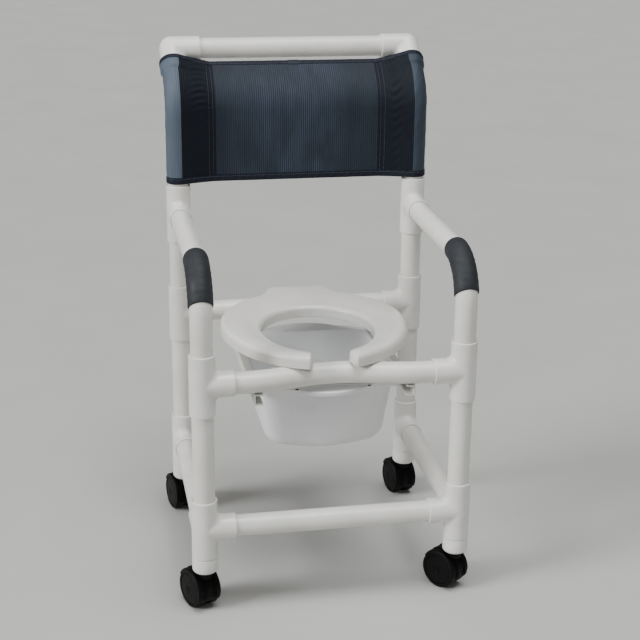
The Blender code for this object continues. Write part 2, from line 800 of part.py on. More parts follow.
def add_backrest(mats):
    """A sheet with a sleeve along each side, which follows the bend of the posts."""
    stations = back_stations()
    walls = [[], [], []]
    for i, (point, bore) in enumerate(stations):
        before = stations[max(i - 1, 0)][0]
        after = stations[min(i + 1, len(stations) - 1)][0]
        across = (after - before).normalized().cross(Vector((1, 0, 0)))
        for wall, loop in zip(walls, back_section(bore)):
            wall.append([point + Vector((x, 0, 0)) + across * y for x, y in loop])
    bm = bmesh.new()
    loops = [bridge(bm, wall) for wall in walls]
    for end in (0, -1):
        edges = []
        for loop in loops:
            ring = loop[end]
            edges += [bm.edges.get((vertex, ring[i - 1])) for i, vertex in enumerate(ring)]
        bmesh.ops.triangle_fill(bm, edges=edges, use_beauty=True)
    finish("backrest", bm, mats["mesh"])


def main():
    clear_scene()
    mats = make_materials()
    for side, word in ((-1, "left"), (1, "right")):
        add_rear_posts(side, word, mats)
        add_front_posts(side, word, mats)
    add_crossbars(mats)
    add_casters(mats)
    add_seat(mats)
    add_pail(mats)
    add_runners(mats)
    add_strap(mats)
    add_backrest(mats)


main()
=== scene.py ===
import math

import bmesh
import bpy
import numpy as np
from mathutils import Matrix, Vector


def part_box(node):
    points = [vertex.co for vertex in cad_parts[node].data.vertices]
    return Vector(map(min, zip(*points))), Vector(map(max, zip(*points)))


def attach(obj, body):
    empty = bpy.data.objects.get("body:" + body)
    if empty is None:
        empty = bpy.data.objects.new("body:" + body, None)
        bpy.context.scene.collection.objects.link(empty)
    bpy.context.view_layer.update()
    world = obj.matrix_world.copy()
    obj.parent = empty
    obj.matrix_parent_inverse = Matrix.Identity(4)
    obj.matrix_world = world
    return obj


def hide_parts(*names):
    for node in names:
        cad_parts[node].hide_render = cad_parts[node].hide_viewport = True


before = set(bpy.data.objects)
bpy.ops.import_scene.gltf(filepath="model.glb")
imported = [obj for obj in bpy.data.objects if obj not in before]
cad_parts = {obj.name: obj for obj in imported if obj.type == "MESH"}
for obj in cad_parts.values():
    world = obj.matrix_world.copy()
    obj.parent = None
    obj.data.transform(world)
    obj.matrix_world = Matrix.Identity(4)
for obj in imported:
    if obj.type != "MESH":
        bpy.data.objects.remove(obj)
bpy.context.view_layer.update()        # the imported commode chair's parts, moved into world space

# The wheeled commode chair: white pipe and fittings, a toilet seat, a pail in runners,
# a mesh back and four twin wheel casters. Every length is in metres.


def mid(node, axis):
    low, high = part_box(node)
    return (low[axis] + high[axis]) / 2


MID_X = (mid("front_leg_left", 0) + mid("front_leg_right", 0)) / 2
POST_X = (mid("front_leg_right", 0) - mid("front_leg_left", 0)) / 2
FRONT_Y = mid("front_leg_left", 1)
REAR_Y = mid("rear_leg_left", 1)
LOW_Z = mid("foot_crossbar_front", 2)
SEAT_Z = mid("seat_crossbar_rear", 2)
ARM_Z = 0.685

PIPE_R = 0.0211
PIPE_INNER = 0.0175
FITTING_R = 0.025
OUTLET_R = 0.0247
FITTING_BORE = 0.0214
SOCKET = 0.060
ELBOW_SOCKET = 0.058
STOP = 0.028             # fitting centre to the ledge that stops the pipe
MOUTH_ROUND = 0.0015     # radius of the moulded mouth edge
FILLET = 0.012           # reach of the moulded fillet where an outlet leaves the body
FITTING_ROWS = 20        # rings from a fitting's mouth to its seam
SIDES = 48               # round every pipe and fitting, a multiple of 8 so that the seams meet
SIDE_WORDS = ((-1, "left"), (1, "right"))

ARM_BEND_R = 0.085
GRIP_R, GRIP_BORE = 0.0238, 0.0215
GRIP_TURN = math.radians(90 * 6 / 7)   # how much of the arm's bend the grip covers
GRIP_SLANT = 0.42                      # run of the slanted end for each metre across the sleeve
POST_BEND_Z = 0.892
POST_BEND_R = 0.090
POST_BEND = math.radians(50)
POST_TAIL = 0.077
BOW, BOW_HALF = 0.024, 0.170
SHEET_LENGTH = 0.810     # of the cloth, round both sleeves
GAP = 0.0003               # between pieces that touch

X, Y, Z = Vector((1, 0, 0)), Vector((0, 1, 0)), Vector((0, 0, 1))
TAIL = Vector((0, math.sin(POST_BEND), math.cos(POST_BEND)))   # along the bent back posts


def quarter(steps):
    """The angles of a quarter turn."""
    return [math.pi / 2 * k / steps for k in range(steps + 1)]


def smooth(share):
    """Ease from 0 to 1, and hold outside that range."""
    share = min(max(share, 0.0), 1.0)
    return share * share * (3 - 2 * share)


def ring_points(radius, count):
    """Points (outwards, sideways) round a circle."""
    turns = [2 * math.pi * i / count for i in range(count)]
    return [(radius * math.cos(q), radius * math.sin(q)) for q in turns]


# ---------------------------------------------------------------- materials

def linear(hex_colour):
    """An sRGB hex colour as linear RGBA."""
    parts = [int(hex_colour[i:i + 2], 16) / 255 for i in (1, 3, 5)]
    return [p / 12.92 if p <= 0.04045 else ((p + 0.055) / 1.055) ** 2.4 for p in parts] + [1.0]


def add(tree, kind, links=(), name="", **settings):
    """Add a node: settings whose name is a socket's go on that socket, the others on the node."""
    node = tree.nodes.new(kind)
    for key, value in settings.items():
        socket = key.replace("_", " ").title() if not key.startswith("in") else None
        if socket is None:
            node.inputs[int(key[2:])].default_value = value
        elif hasattr(node, key):
            setattr(node, key, value)
        else:
            node.inputs[socket].default_value = value
    for target, source in dict(links).items():
        tree.links.new(source, node.inputs[target])
    node.label = name
    return node


def start(name, roughness, ior=1.5, metallic=0.0, **more):
    """A new material with its shader. The rest of its nodes come after."""
    material = bpy.data.materials.new(name)
    material.use_nodes = True
    tree = material.node_tree
    tree.nodes.clear()
    shader = add(tree, "ShaderNodeBsdfPrincipled", roughness=roughness, metallic=metallic)
    if not metallic:
        shader.inputs["IOR"].default_value = ior
    for socket, value in more.items():
        shader.inputs[socket.replace("_", " ")].default_value = value
    add(tree, "ShaderNodeOutputMaterial", {"Surface": shader.outputs[0]})
    return material, tree, shader


def noise(tree, vector, size_mm, detail=4.0, rough=0.55, stretch=(1, 1, 1), name=""):
    """Noise whose blotches are size_mm across."""
    place = add(tree, "ShaderNodeMapping", {"Vector": vector}, in3=stretch)
    return add(tree, "ShaderNodeTexNoise", {"Vector": place.outputs[0]}, name=name,
               in2=1000.0 / size_mm, in3=detail, in4=rough).outputs[0]


def spread(tree, value, low, high, from_low=0.3, from_high=0.7, name=""):
    """Map a pattern's usual range onto low to high."""
    return add(tree, "ShaderNodeMapRange", {"Value": value}, name=name,
               in1=from_low, in2=from_high, in3=low, in4=high).outputs[0]


def blend(tree, value, first, second, name=""):
    """Colour between two hex colours."""
    node = add(tree, "ShaderNodeMix", {0: value}, name=name, data_type="RGBA")
    for key, colour in ((6, first), (7, second)):
        if isinstance(colour, str):
            node.inputs[key].default_value = linear(colour)
        else:
            tree.links.new(colour, node.inputs[key])
    return node.outputs[2]


def bump(tree, shader, height, depth_mm, below=None, name=""):
    """A bump whose height pattern, 0 to 1, is depth_mm deep."""
    node = add(tree, "ShaderNodeBump", {"Height": height}, name=name, strength=1.0,
               distance=depth_mm / 1000)
    if below:
        tree.links.new(below, node.inputs["Normal"])
    tree.links.new(node.outputs[0], shader.inputs["Normal"])
    return node.outputs[0]


def colour_and_gloss(tree, shader, colour, rough):
    tree.links.new(colour, shader.inputs["Base Color"])
    tree.links.new(rough, shader.inputs["Roughness"])


def white_plastic(name, light, shade, roughness, grit_mm, draw=None, ior=1.53, scuff=0.05):
    """Solid white plastic: soft tone patches, a fine grit from the mould and a few scuffs."""
    material, tree, shader = start(name, roughness, ior)
    where = add(tree, "ShaderNodeTexCoord")
    spot = where.outputs["Object"]
    tone = noise(tree, spot, 60, 3, name="slow change of tone")
    speck = noise(tree, spot, 2.2, 2, name="specks in the compound")
    scuffs = noise(tree, spot, 9, 6, 0.7, name="scuffs from handling")
    colour = blend(tree, spread(tree, tone, 0.0, 1.0), light, shade)
    colour = blend(tree, spread(tree, speck, 0.0, 0.25, 0.55, 0.8), colour, shade)
    rough = add(tree, "ShaderNodeMath", operation="ADD", name="scuffed spots are duller", links={
        0: spread(tree, tone, roughness - 0.03, roughness + 0.03),
        1: spread(tree, scuffs, 0.0, scuff, 0.5, 0.75)})
    colour_and_gloss(tree, shader, colour, rough.outputs[0])
    grit = noise(tree, spot, grit_mm, 3, name="grit of the mould")
    below = bump(tree, shader, grit, 0.012)
    if draw:
        along = where.outputs["UV"]
        lines = noise(tree, along, draw, 3, stretch=(1, 0.02, 1), name="die lines along the pipe")
        below = bump(tree, shader, lines, 0.02, below)
    return material, tree, shader


def pipe_pvc():
    """Extruded rigid PVC pipe: satin, off-white, with faint lines from the die along its length."""
    return white_plastic("extruded_white_pvc", "#E4E3DE", "#DAD9D3", 0.34, 0.8, draw=3.0)[0]


def fitting_pvc():
    """Injection moulded PVC: a shade cleaner and glossier than the pipe, with a finer skin."""
    return white_plastic("moulded_white_pvc", "#E7E6E2", "#DDDCD7", 0.30, 0.6)[0]


def seat_plastic():
    """Compression moulded seat: smooth, slightly warm white with a soft shine."""
    material, _, shader = white_plastic(
        "moulded_seat_plastic", "#DFDED9", "#D6D5D0", 0.30, 1.4, scuff=0.09)
    shader.inputs["Coat Weight"].default_value = 0.15
    shader.inputs["Coat Roughness"].default_value = 0.22
    return material


def pail_plastic():
    """Polyethylene pail: waxy, cool white, lets a little light in, with draw marks up its wall."""
    material, tree, shader = white_plastic(
        "moulded_polyethylene", "#EBECED", "#E3E4E6", 0.36, 1.0, ior=1.51, scuff=0.08)
    shader.inputs["Subsurface Weight"].default_value = 0.30
    shader.inputs["Subsurface Radius"].default_value = (0.012, 0.012, 0.012)
    shader.inputs["Subsurface Scale"].default_value = 1.0
    spot = add(tree, "ShaderNodeTexCoord").outputs["Object"]
    marks = noise(tree, spot, 5, 2, stretch=(1, 1, 0.06), name="draw marks up the wall")
    bump(tree, shader, marks, 0.03, shader.inputs["Normal"].links[0].from_socket)
    return material


def runner_plastic():
    """Extruded channel: plain greyish white with long lines from the die."""
    material, tree, shader = white_plastic(
        "extruded_channel_plastic", "#D3D2CD", "#C8C7C1", 0.42, 0.8)
    spot = add(tree, "ShaderNodeTexCoord").outputs["Object"]
    lines = noise(tree, spot, 1.6, 2, stretch=(1, 0.02, 1), name="die lines")
    bump(tree, shader, lines, 0.03, shader.inputs["Normal"].links[0].from_socket)
    return material


def grip_vinyl():
    """Dipped vinyl foam sleeve: charcoal, matt, with a pebbled skin of 1.6 mm cells."""
    material, tree, shader = start("pebbled_vinyl_foam", 0.62, 1.5, Specular_IOR_Level=0.30)
    spot = add(tree, "ShaderNodeTexCoord").outputs["Object"]
    cells = add(tree, "ShaderNodeTexVoronoi", {"Vector": spot}, name="pebbles", in2=1000 / 1.6,
                feature="SMOOTH_F1")
    worn = noise(tree, spot, 28, 5, 0.6, name="rubbed places")
    colour = blend(tree, spread(tree, worn, 0.0, 1.0), "#202326", "#2B2E32")
    pits = spread(tree, cells.outputs[0], 0.0, 0.35, 0.25, 0.75)
    colour = blend(tree, pits, colour, "#373B40", name="pebble tops catch light")
    colour_and_gloss(tree, shader, colour, spread(tree, worn, 0.70, 0.56))
    bump(tree, shader, cells.outputs[0], 0.18, name="pebble relief")
    return material


def mesh_fabric(name, yarn, gap, rib_highlight, roughness, shine=0.22):
    """Woven polyester yarn coated with vinyl.

    The ribs run up the cloth 4.4 mm apart, which is coarser than the real cloth so that they
    show, and the gaps between the cross yarns are 2.2 mm apart.
    """
    material, tree, shader = start(name, roughness, 1.52, Specular_IOR_Level=shine)
    cloth = add(tree, "ShaderNodeTexCoord").outputs["UV"]
    split = add(tree, "ShaderNodeSeparateXYZ", {0: cloth})

    def waves(axis, pitch_mm, label):
        turns = add(tree, "ShaderNodeMath", {0: split.outputs[axis]}, operation="MULTIPLY",
                    in1=2 * math.pi * 1000 / pitch_mm)
        wave = add(tree, "ShaderNodeMath", {0: turns.outputs[0]}, operation="SINE")
        return add(tree, "ShaderNodeMapRange", {"Value": wave.outputs[0]}, name=label,
                   in1=-1.0, in2=1.0).outputs[0]

    ribs = waves(0, 4.4, "ribs up the cloth")
    rows = waves(1, 2.2, "cross yarns")
    sheen = noise(tree, cloth, 70, 2, name="coating thicker here and there")
    fuzz = noise(tree, cloth, 3, 4, 0.7, stretch=(1, 0.12, 1), name="uneven yarn")
    patch = noise(tree, cloth, 34, 2, 0.5, stretch=(1, 0.35, 1), name="where the ribs stand out")
    away = add(tree, "ShaderNodeMath", {0: split.outputs[0]}, operation="SUBTRACT",
               in1=SHEET_LENGTH / 2)
    away = add(tree, "ShaderNodeMath", {0: away.outputs[0]}, operation="ABSOLUTE")
    # painted highlight: the rib crests are tinted lighter, most at the middle of the cloth and in
    # patches
    central = spread(tree, away.outputs[0], 1.0, 0.2, 0.05, 0.15, name="taut middle of the cloth")
    stand = add(tree, "ShaderNodeMath", operation="MULTIPLY", links={
        0: central, 1: spread(tree, patch, 0.35, 1.0, 0.38, 0.62)})
    strong = add(tree, "ShaderNodeMath", {0: ribs, 1: stand.outputs[0]}, operation="MULTIPLY")
    base = blend(tree, spread(tree, sheen, 0.0, 0.18), yarn, gap, name="yarn")
    colour = blend(tree, strong.outputs[0], base, rib_highlight, name="rib crests")
    holes = add(tree, "ShaderNodeMath", operation="MULTIPLY", links={
        0: add(tree, "ShaderNodeMath", {1: ribs}, in0=1.0, operation="SUBTRACT").outputs[0],
        1: spread(tree, rows, 0.0, 0.55, 0.5, 1.0)})
    colour = blend(tree, holes.outputs[0], colour, gap, name="holes between the yarns")
    colour_and_gloss(tree, shader, colour, spread(tree, fuzz, roughness - 0.06, roughness + 0.1))
    below = bump(tree, shader, ribs, 0.35, name="rib relief")
    below = bump(tree, shader, rows, 0.12, below, name="cross yarn relief")
    bump(tree, shader, fuzz, 0.05, below)
    return material


def binding_tape():
    """Woven nylon binding folded over the cloth's edge: near black navy, rows 1.3 mm apart."""
    material, tree, shader = start("woven_binding_tape", 0.72, 1.5, Specular_IOR_Level=0.20)
    cloth = add(tree, "ShaderNodeTexCoord").outputs["UV"]
    place = add(tree, "ShaderNodeMapping", {"Vector": cloth})
    weave = add(tree, "ShaderNodeTexWave", {"Vector": place.outputs[0]}, name="rows of the weave",
                in1=1000 / 1.3 / 20, in2=1.2, in3=2.0, bands_direction="DIAGONAL")
    tone = noise(tree, cloth, 18, 4, name="faded stretches")
    colour = blend(tree, spread(tree, tone, 0.0, 1.0), "#10131C", "#171B27")
    colour = blend(tree, spread(tree, weave.outputs[1], 0.0, 0.5, 0.4, 1.0), colour, "#1F2431")
    colour_and_gloss(tree, shader, colour, spread(tree, tone, 0.60, 0.72))
    bump(tree, shader, weave.outputs[1], 0.12)
    return material


def thread():
    """Bonded polyester thread: dark navy, twisted, with a slight shine."""
    material, tree, shader = start("bonded_thread", 0.5, 1.55)
    spot = add(tree, "ShaderNodeTexCoord").outputs["Object"]
    twist = add(tree, "ShaderNodeTexWave", {"Vector": spot}, in1=60.0, in2=2.0,
                name="twist of the thread", bands_direction="DIAGONAL")
    colour = blend(tree, twist.outputs[1], "#2A3140", "#4A5568")
    colour_and_gloss(tree, shader, colour, spread(tree, twist.outputs[1], 0.45, 0.6, 0.0, 1.0))
    bump(tree, shader, twist.outputs[1], 0.05)
    return material


def black_plastic(name, dark, light, roughness, grain_mm, relief):
    """Black moulded plastic with an etched grain and scuffs that have gone grey."""
    material, tree, shader = start(name, roughness, 1.53, Specular_IOR_Level=0.12)
    spot = add(tree, "ShaderNodeTexCoord").outputs["Object"]
    grain = noise(tree, spot, grain_mm, 3, 0.6, name="etched grain")
    scuffs = noise(tree, spot, 12, 7, 0.72, name="scuffs")
    colour = blend(tree, spread(tree, grain, 0.0, 1.0), dark, light)
    colour = blend(tree, spread(tree, scuffs, 0.0, 0.25, 0.58, 0.80), colour, "#1C1C1B")
    colour_and_gloss(tree, shader, colour, spread(tree, scuffs, roughness - 0.04,
                                                  roughness + 0.12))
    bump(tree, shader, grain, relief)
    return material


def zinc_steel():
    """Zinc plated steel: cool grey metal with a fine crystalline bloom and rubbed spots."""
    material, tree, shader = start("zinc_plated_steel", 0.38, metallic=1.0)
    spot = add(tree, "ShaderNodeTexCoord").outputs["Object"]
    bloom = add(tree, "ShaderNodeTexVoronoi", {"Vector": spot}, in2=1000 / 2.5,
                name="zinc crystals")
    rub = noise(tree, spot, 6, 5, 0.7, name="rubbed spots")
    colour = blend(tree, spread(tree, bloom.outputs[0], 0.0, 1.0, 0.0, 0.8), "#9A9C9E", "#B8BABB")
    colour = blend(tree, spread(tree, rub, 0.0, 0.5), colour, "#77797B")
    colour_and_gloss(tree, shader, colour, spread(tree, rub, 0.30, 0.48))
    bump(tree, shader, rub, 0.02)
    return material


PIPE = pipe_pvc()
FITTING = fitting_pvc()
SEAT = seat_plastic()
PAIL = pail_plastic()
RUNNER = runner_plastic()
GRIP = grip_vinyl()
MESH = mesh_fabric("vinyl_coated_mesh", "#1F2731", "#151A22", "#3B4555", 0.58)
MESH_DOUBLE = mesh_fabric("vinyl_coated_mesh_doubled", "#11161F", "#0A0E15", "#1F2735", 0.60, 0.14)
# both sleeves are lighter than the panel where the white pipe shows through the cloth; on top of that
# the left sleeve's copy has painted light and the right sleeve's copy painted shade
SLEEVE_MESH_PAINTED_LIGHT = mesh_fabric("vinyl_coated_mesh_sleeve_painted_light", "#505C69", "#3E4955", "#687685", 0.46)
SLEEVE_MESH_PAINTED_SHADE = mesh_fabric("vinyl_coated_mesh_far_sleeve_painted_shade", "#333D49", "#262E38", "#465261", 0.48)
BINDING = binding_tape()
THREAD = thread()
NYLON = black_plastic("moulded_black_nylon", "#030303", "#070707", 0.46, 0.7, 0.05)
TREAD = black_plastic("black_polyurethane_tread", "#040404", "#080808", 0.55, 1.1, 0.03)
ZINC = zinc_steel()


# ---------------------------------------------------------------- mesh making

def new_shape():
    shape = bmesh.new()
    shape.loops.layers.uv.new("surface")
    return shape


def skin(shape, rings, loop=False, ends=False, open_ring=False, material=0):
    """Quads between neighbouring rings. The UV map holds metres round and along the rings."""
    rings = [np.asarray(ring, float) for ring in rings]
    size = len(rings[0])
    uv = shape.loops.layers.uv.active
    verts = [[shape.verts.new(point) for point in ring] for ring in rings]
    after = rings[1:] + rings[:1]
    steps = [np.linalg.norm(b - a, axis=1).mean() for a, b in zip(rings, after)]
    along = np.concatenate([[0.0], np.cumsum(steps)])
    girths = [np.linalg.norm(np.roll(ring, -1, 0) - ring, axis=1) for ring in rings]
    around = np.concatenate([[0.0], np.cumsum(max(girths, key=lambda g: g.sum()))])
    for i in range(len(rings) if loop else len(rings) - 1):
        low, high = verts[i], verts[(i + 1) % len(rings)]
        for j in range(size - 1 if open_ring else size):
            k = (j + 1) % size
            face = shape.faces.new((low[j], low[k], high[k], high[j]))
            face.material_index = material
            corners = ((j, i), (j + 1, i), (j + 1, i + 1), (j, i + 1))
            for corner, (a, b) in zip(face.loops, corners):
                corner[uv].uv = (around[a], along[b])
    if ends:
        for row in (verts[0], verts[-1]):
            face = shape.faces.new(row)
            face.material_index = material
            for corner in face.loops:
                corner[uv].uv = corner.vert.co.xy
    return verts


def finish(name, shape, nodes, material, body="frame", sharp=32, clean=True):
    """Close a shape into an object with smooth shading that stands for its CAD nodes."""
    if clean:
        bmesh.ops.remove_doubles(shape, verts=shape.verts, dist=3e-6)
        bmesh.ops.dissolve_degenerate(shape, edges=shape.edges, dist=1e-7)
        bmesh.ops.recalc_face_normals(shape, faces=shape.faces)
    mesh = bpy.data.meshes.new(name)
    shape.to_mesh(mesh)
    shape.free()
    for part in material if isinstance(material, (list, tuple)) else [material]:
        mesh.materials.append(part)
    return register(name, mesh, nodes, body, sharp)


def register(name, mesh, nodes, body="frame", sharp=32):
    mesh.polygons.foreach_set("use_smooth", [True] * len(mesh.polygons))
    mesh.set_sharp_from_angle(angle=math.radians(sharp))
    made = bpy.data.objects.new(name, mesh)
    bpy.context.scene.collection.objects.link(made)
    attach(made, body)
    if nodes:
        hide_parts(*([nodes] if isinstance(nodes, str) else nodes))
    return made


def ring(centre, tangent, side, radius, count=SIDES):
    """A circle about a centre, across a tangent, starting towards side."""
    other = tangent.cross(side).normalized()
    return [centre + side * x + other * y for x, y in ring_points(radius, count)]


def lathe(shape, profile, origin, axis, side, loop=False, count=SIDES, material=0):
    """Turn a profile of (radius, distance along the axis) about the axis."""
    rings = [ring(origin + axis * t, axis, side, max(r, 1e-7), count) for r, t in profile]
    skin(shape, rings, loop=loop, material=material)


def rounded(points, radius, steps=4, closed=True):
    """Round the corners of a 2-D outline. radius is one length or one for each corner."""
    out = []
    count = len(points)
    for i, point in enumerate(points):
        here = Vector(point)
        r = radius[i] if isinstance(radius, (list, tuple)) else radius
        if r == 0 or (not closed and i in (0, count - 1)):
            out.append(here)
            continue
        back = Vector(points[i - 1]) - here
        on = Vector(points[(i + 1) % count]) - here
        reach = min(r, back.length * 0.48, on.length * 0.48)
        a, b = here + back.normalized() * reach, here + on.normalized() * reach
        for k in range(steps + 1):
            t = k / steps
            out.append(a * (1 - t) ** 2 + here * 2 * t * (1 - t) + b * t ** 2)
    return out


# ---------------------------------------------------------------- pipes and fittings

def swept_pipe(node, path, side):
    """A pipe along (point, tangent) stations, with its cut ends lightly chamfered."""
    edge = 0.0008
    stations = [(Vector(p), Vector(t).normalized()) for p, t in path]
    first, last = stations[0], stations[-1]
    start_in = (first[0] + first[1] * edge, first[1])
    end_in = (last[0] - last[1] * edge, last[1])
    body = [start_in] + stations[1:-1] + [end_in]
    outside = [(first, PIPE_R - edge)] + [(s, PIPE_R) for s in body] + [(last, PIPE_R - edge)]
    inside = [(last, PIPE_INNER + edge)] + [(s, PIPE_INNER) for s in reversed(body)] \
        + [(first, PIPE_INNER + edge)]
    shape = new_shape()
    skin(shape, [ring(s[0], s[1], side, r) for s, r in outside + inside], loop=True)
    return finish(f"{node}_pipe", shape, node, PIPE)


def straight(start, end, pieces=4):
    start, end = Vector(start), Vector(end)
    way = (end - start).normalized()
    return [(start + (end - start) * i / pieces, way) for i in range(pieces + 1)]


def bend(centre, radius, start, sweep_side, degrees, steps=18):
    """Stations on an arc. start points from the centre to the first one."""
    turned = []
    for i in range(steps + 1):
        spin = Matrix.Rotation(math.radians(degrees) * i / steps, 3, sweep_side)
        arm = spin @ start
        way = sweep_side.cross(arm) * (1 if degrees > 0 else -1)
        turned.append((centre + arm * radius, way.normalized()))
    return turned


def fields(points, centre, groups):
    """Distance from the surface of each arm, and the way out of it, for a fitting's skin."""
    out = []
    for ways, radius in groups:
        best = None
        for way in ways:
            away = points - centre
            t = np.clip(away @ way, 0, None)
            gap = away - t[:, None] * way
            length = np.linalg.norm(gap, axis=1)
            if best is None:
                best, near = length, gap
            else:
                closer = length < best
                best = np.where(closer, length, best)
                near = np.where(closer[:, None], gap, near)
        out.append((best - radius, near / np.maximum(best, 1e-9)[:, None]))
    return out


def onto_fillet(points, centre, groups, rounds=6):
    """Move points onto the arms' joined surface, with a fillet where two arms meet at an angle."""
    points = np.array(points, float)
    for _ in range(rounds):
        arms = fields(points, centre, groups)
        gap, way = arms[0]
        for other, other_way in arms[1:]:
            turn = 1 - np.clip((way * other_way).sum(1), -1, 1)
            reach = FILLET * np.clip(turn, 0, 1) + 1e-6
            share = np.clip(0.5 + 0.5 * (other - gap) / reach, 0, 1)
            gap = other * (1 - share) + gap * share - reach * share * (1 - share)
            way = other_way * (1 - share)[:, None] + way * share[:, None]
            way /= np.maximum(np.linalg.norm(way, axis=1), 1e-9)[:, None]
        points -= gap[:, None] * way
    return points


def fitting(node, centre, axes, arms):
    """A moulded pipe fitting: sockets on the arms, open inside, filleted where they meet.

    arms are (axis number, sign, length, outer radius). Arms that face each other are one body.
    """
    centre = Vector(centre)
    ways = [axes[a] * s for a, s, _, _ in arms]
    groups, used = [], set()
    for i, (a, _, _, radius) in enumerate(arms):
        if i not in used:
            pair = [j for j, other in enumerate(arms) if other[0] == a]
            used.update(pair)
            groups.append(([np.array(ways[j]) for j in pair], radius))
    shape = new_shape()
    for i, (a, _, length, radius) in enumerate(arms):
        way = ways[i]
        first, second = axes[(a + 1) % 3], axes[(a + 2) % 3]
        rounds = [first * x + second * y for x, y in ring_points(1.0, SIDES)]
        across = [w for j, w in enumerate(ways) if arms[j][0] != a]
        facing = any(arms[j][0] == a for j in range(len(arms)) if j != i)

        def seam(r):
            """Where this arm's skin at radius r meets its neighbours', along the arm."""
            return [max([0.0] * facing + [r * n.dot(w) for w in across]) for n in rounds]

        def row(r, t):
            """A ring at radius r whose points lie t along the arm (one t or one for each)."""
            ts = t if isinstance(t, list) else [t] * SIDES
            return [centre + n * r + way * d for n, d in zip(rounds, ts)]

        edge = MOUTH_ROUND
        inner_seam, outer_seam = seam(PIPE_INNER), seam(FITTING_R)
        rows = [row(PIPE_INNER, [m + (STOP - m) * f for m in inner_seam])
                for f in (0.0, 0.33, 0.67, 1.0)]
        rows += [row(FITTING_BORE, STOP), row(FITTING_BORE, length - 0.0008),
                 row(FITTING_BORE + 0.0006, length)]
        rows += [row(radius - edge + edge * math.sin(q), length - edge + edge * math.cos(q))
                 for q in quarter(4)]
        for k in range(1, FITTING_ROWS + 1):
            f = (1 - k / FITTING_ROWS) ** 1.35
            r = FITTING_R if k == FITTING_ROWS else radius
            outside = row(r, [m + (length - edge - m) * f for m in outer_seam])
            rows.append(onto_fillet(outside, np.array(centre), groups))
        skin(shape, rows)
    return finish(f"{node}_moulding", shape, node, FITTING, sharp=38)


def make_frame():
    """All pipes and fittings of the frame, with the grips on the arms."""
    plain = (X, Y, Z)
    leaned = (X, Y.cross(Z).cross(TAIL).normalized(), TAIL)
    run = [(2, 1, SOCKET, FITTING_R), (2, -1, SOCKET, FITTING_R)]
    forward, rearward = (1, -1, SOCKET, OUTLET_R), (1, 1, SOCKET, OUTLET_R)
    stop = STOP + GAP
    for side, word in SIDE_WORDS:
        px = MID_X + side * POST_X
        front, rear = Vector((px, FRONT_Y, 0)), Vector((px, REAR_Y, 0))
        inward = (0, -side, SOCKET, OUTLET_R)

        fitting(f"foot_tee_front_{word}", front + Z * LOW_Z, plain, run + [inward, rearward])
        fitting(f"foot_tee_rear_{word}", rear + Z * LOW_Z, plain, run + [forward])
        for place, base in (("front", front), ("rear", rear)):
            fitting(f"seat_tee_{place}_{word}", base + Z * SEAT_Z, plain, run + [inward])
            swept_pipe(f"{place}_leg_{word}",
                       straight(base + Z * (LOW_Z + stop), base + Z * (SEAT_Z - stop)), X)
        fitting(f"arm_tee_{word}", rear + Z * ARM_Z, plain, run + [forward])
        swept_pipe(f"rear_post_middle_{word}",
                   straight(rear + Z * (SEAT_Z + stop), rear + Z * (ARM_Z - stop)), X)
        make_upper_post(word, side, rear, leaned)
        # the arm runs forward from its tee and bends down into the front seat tee
        bend_from = front + Z * ARM_Z + Y * ARM_BEND_R
        knee = bend(bend_from - Z * ARM_BEND_R, ARM_BEND_R, Z, X, 90, 24)
        path = straight(rear + Z * ARM_Z - Y * stop, bend_from, 5)[:-1] + knee \
            + straight(knee[-1][0], front + Z * (SEAT_Z + stop), 4)[1:]
        swept_pipe(f"arm_tube_{word}", path, X)
        make_grip(word, front)
        swept_pipe(f"side_rail_{word}",
                   straight((px, FRONT_Y + stop, LOW_Z), (px, REAR_Y - stop, LOW_Z)), X)
    half = POST_X - stop

    def level(y, z):
        return straight((MID_X - half, y, z), (MID_X + half, y, z))

    swept_pipe("foot_crossbar_front", level(FRONT_Y, LOW_Z), Z)
    swept_pipe("seat_crossbar_rear", level(REAR_Y, SEAT_Z), Z)
    swept_pipe("seat_crossbar_front", bowed_bar(half), Z)
    swept_pipe("top_rail", level(mid("top_rail", 1), mid("top_rail", 2)), Z)


def make_upper_post(word, side, rear, leaned):
    """A rear post's upper pipe, bent back, and the elbow on its top."""
    curve = bend(rear + Z * POST_BEND_Z + Y * POST_BEND_R, POST_BEND_R, -Y, X,
                 -math.degrees(POST_BEND))
    elbow = curve[-1][0] + TAIL * POST_TAIL
    path = straight(rear + Z * (ARM_Z + STOP + GAP), rear + Z * POST_BEND_Z, 6)[:-1] + curve \
        + straight(curve[-1][0], elbow - TAIL * (STOP + GAP), 2)[1:]
    swept_pipe(f"rear_post_upper_{word}", path, X)
    fitting(f"top_elbow_{word}", elbow, leaned,
            [(2, -1, ELBOW_SOCKET, FITTING_R), (0, -side, ELBOW_SOCKET, FITTING_R)])


def bow_at(x):
    """How far back the front crossbar lies, x from the middle."""
    return BOW * (1 + math.cos(math.pi * x / BOW_HALF)) / 2 if abs(x) < BOW_HALF else 0.0


def bowed_bar(half):
    places = [-half] + [BOW_HALF * (i / 18 - 1) for i in range(37)] + [half]
    stations = []
    for x in places:
        slope = (bow_at(x + 1e-4) - bow_at(x - 1e-4)) / 2e-4
        stations.append((Vector((MID_X + x, FRONT_Y + bow_at(x), SEAT_Z)), Vector((1, slope, 0))))
    return stations


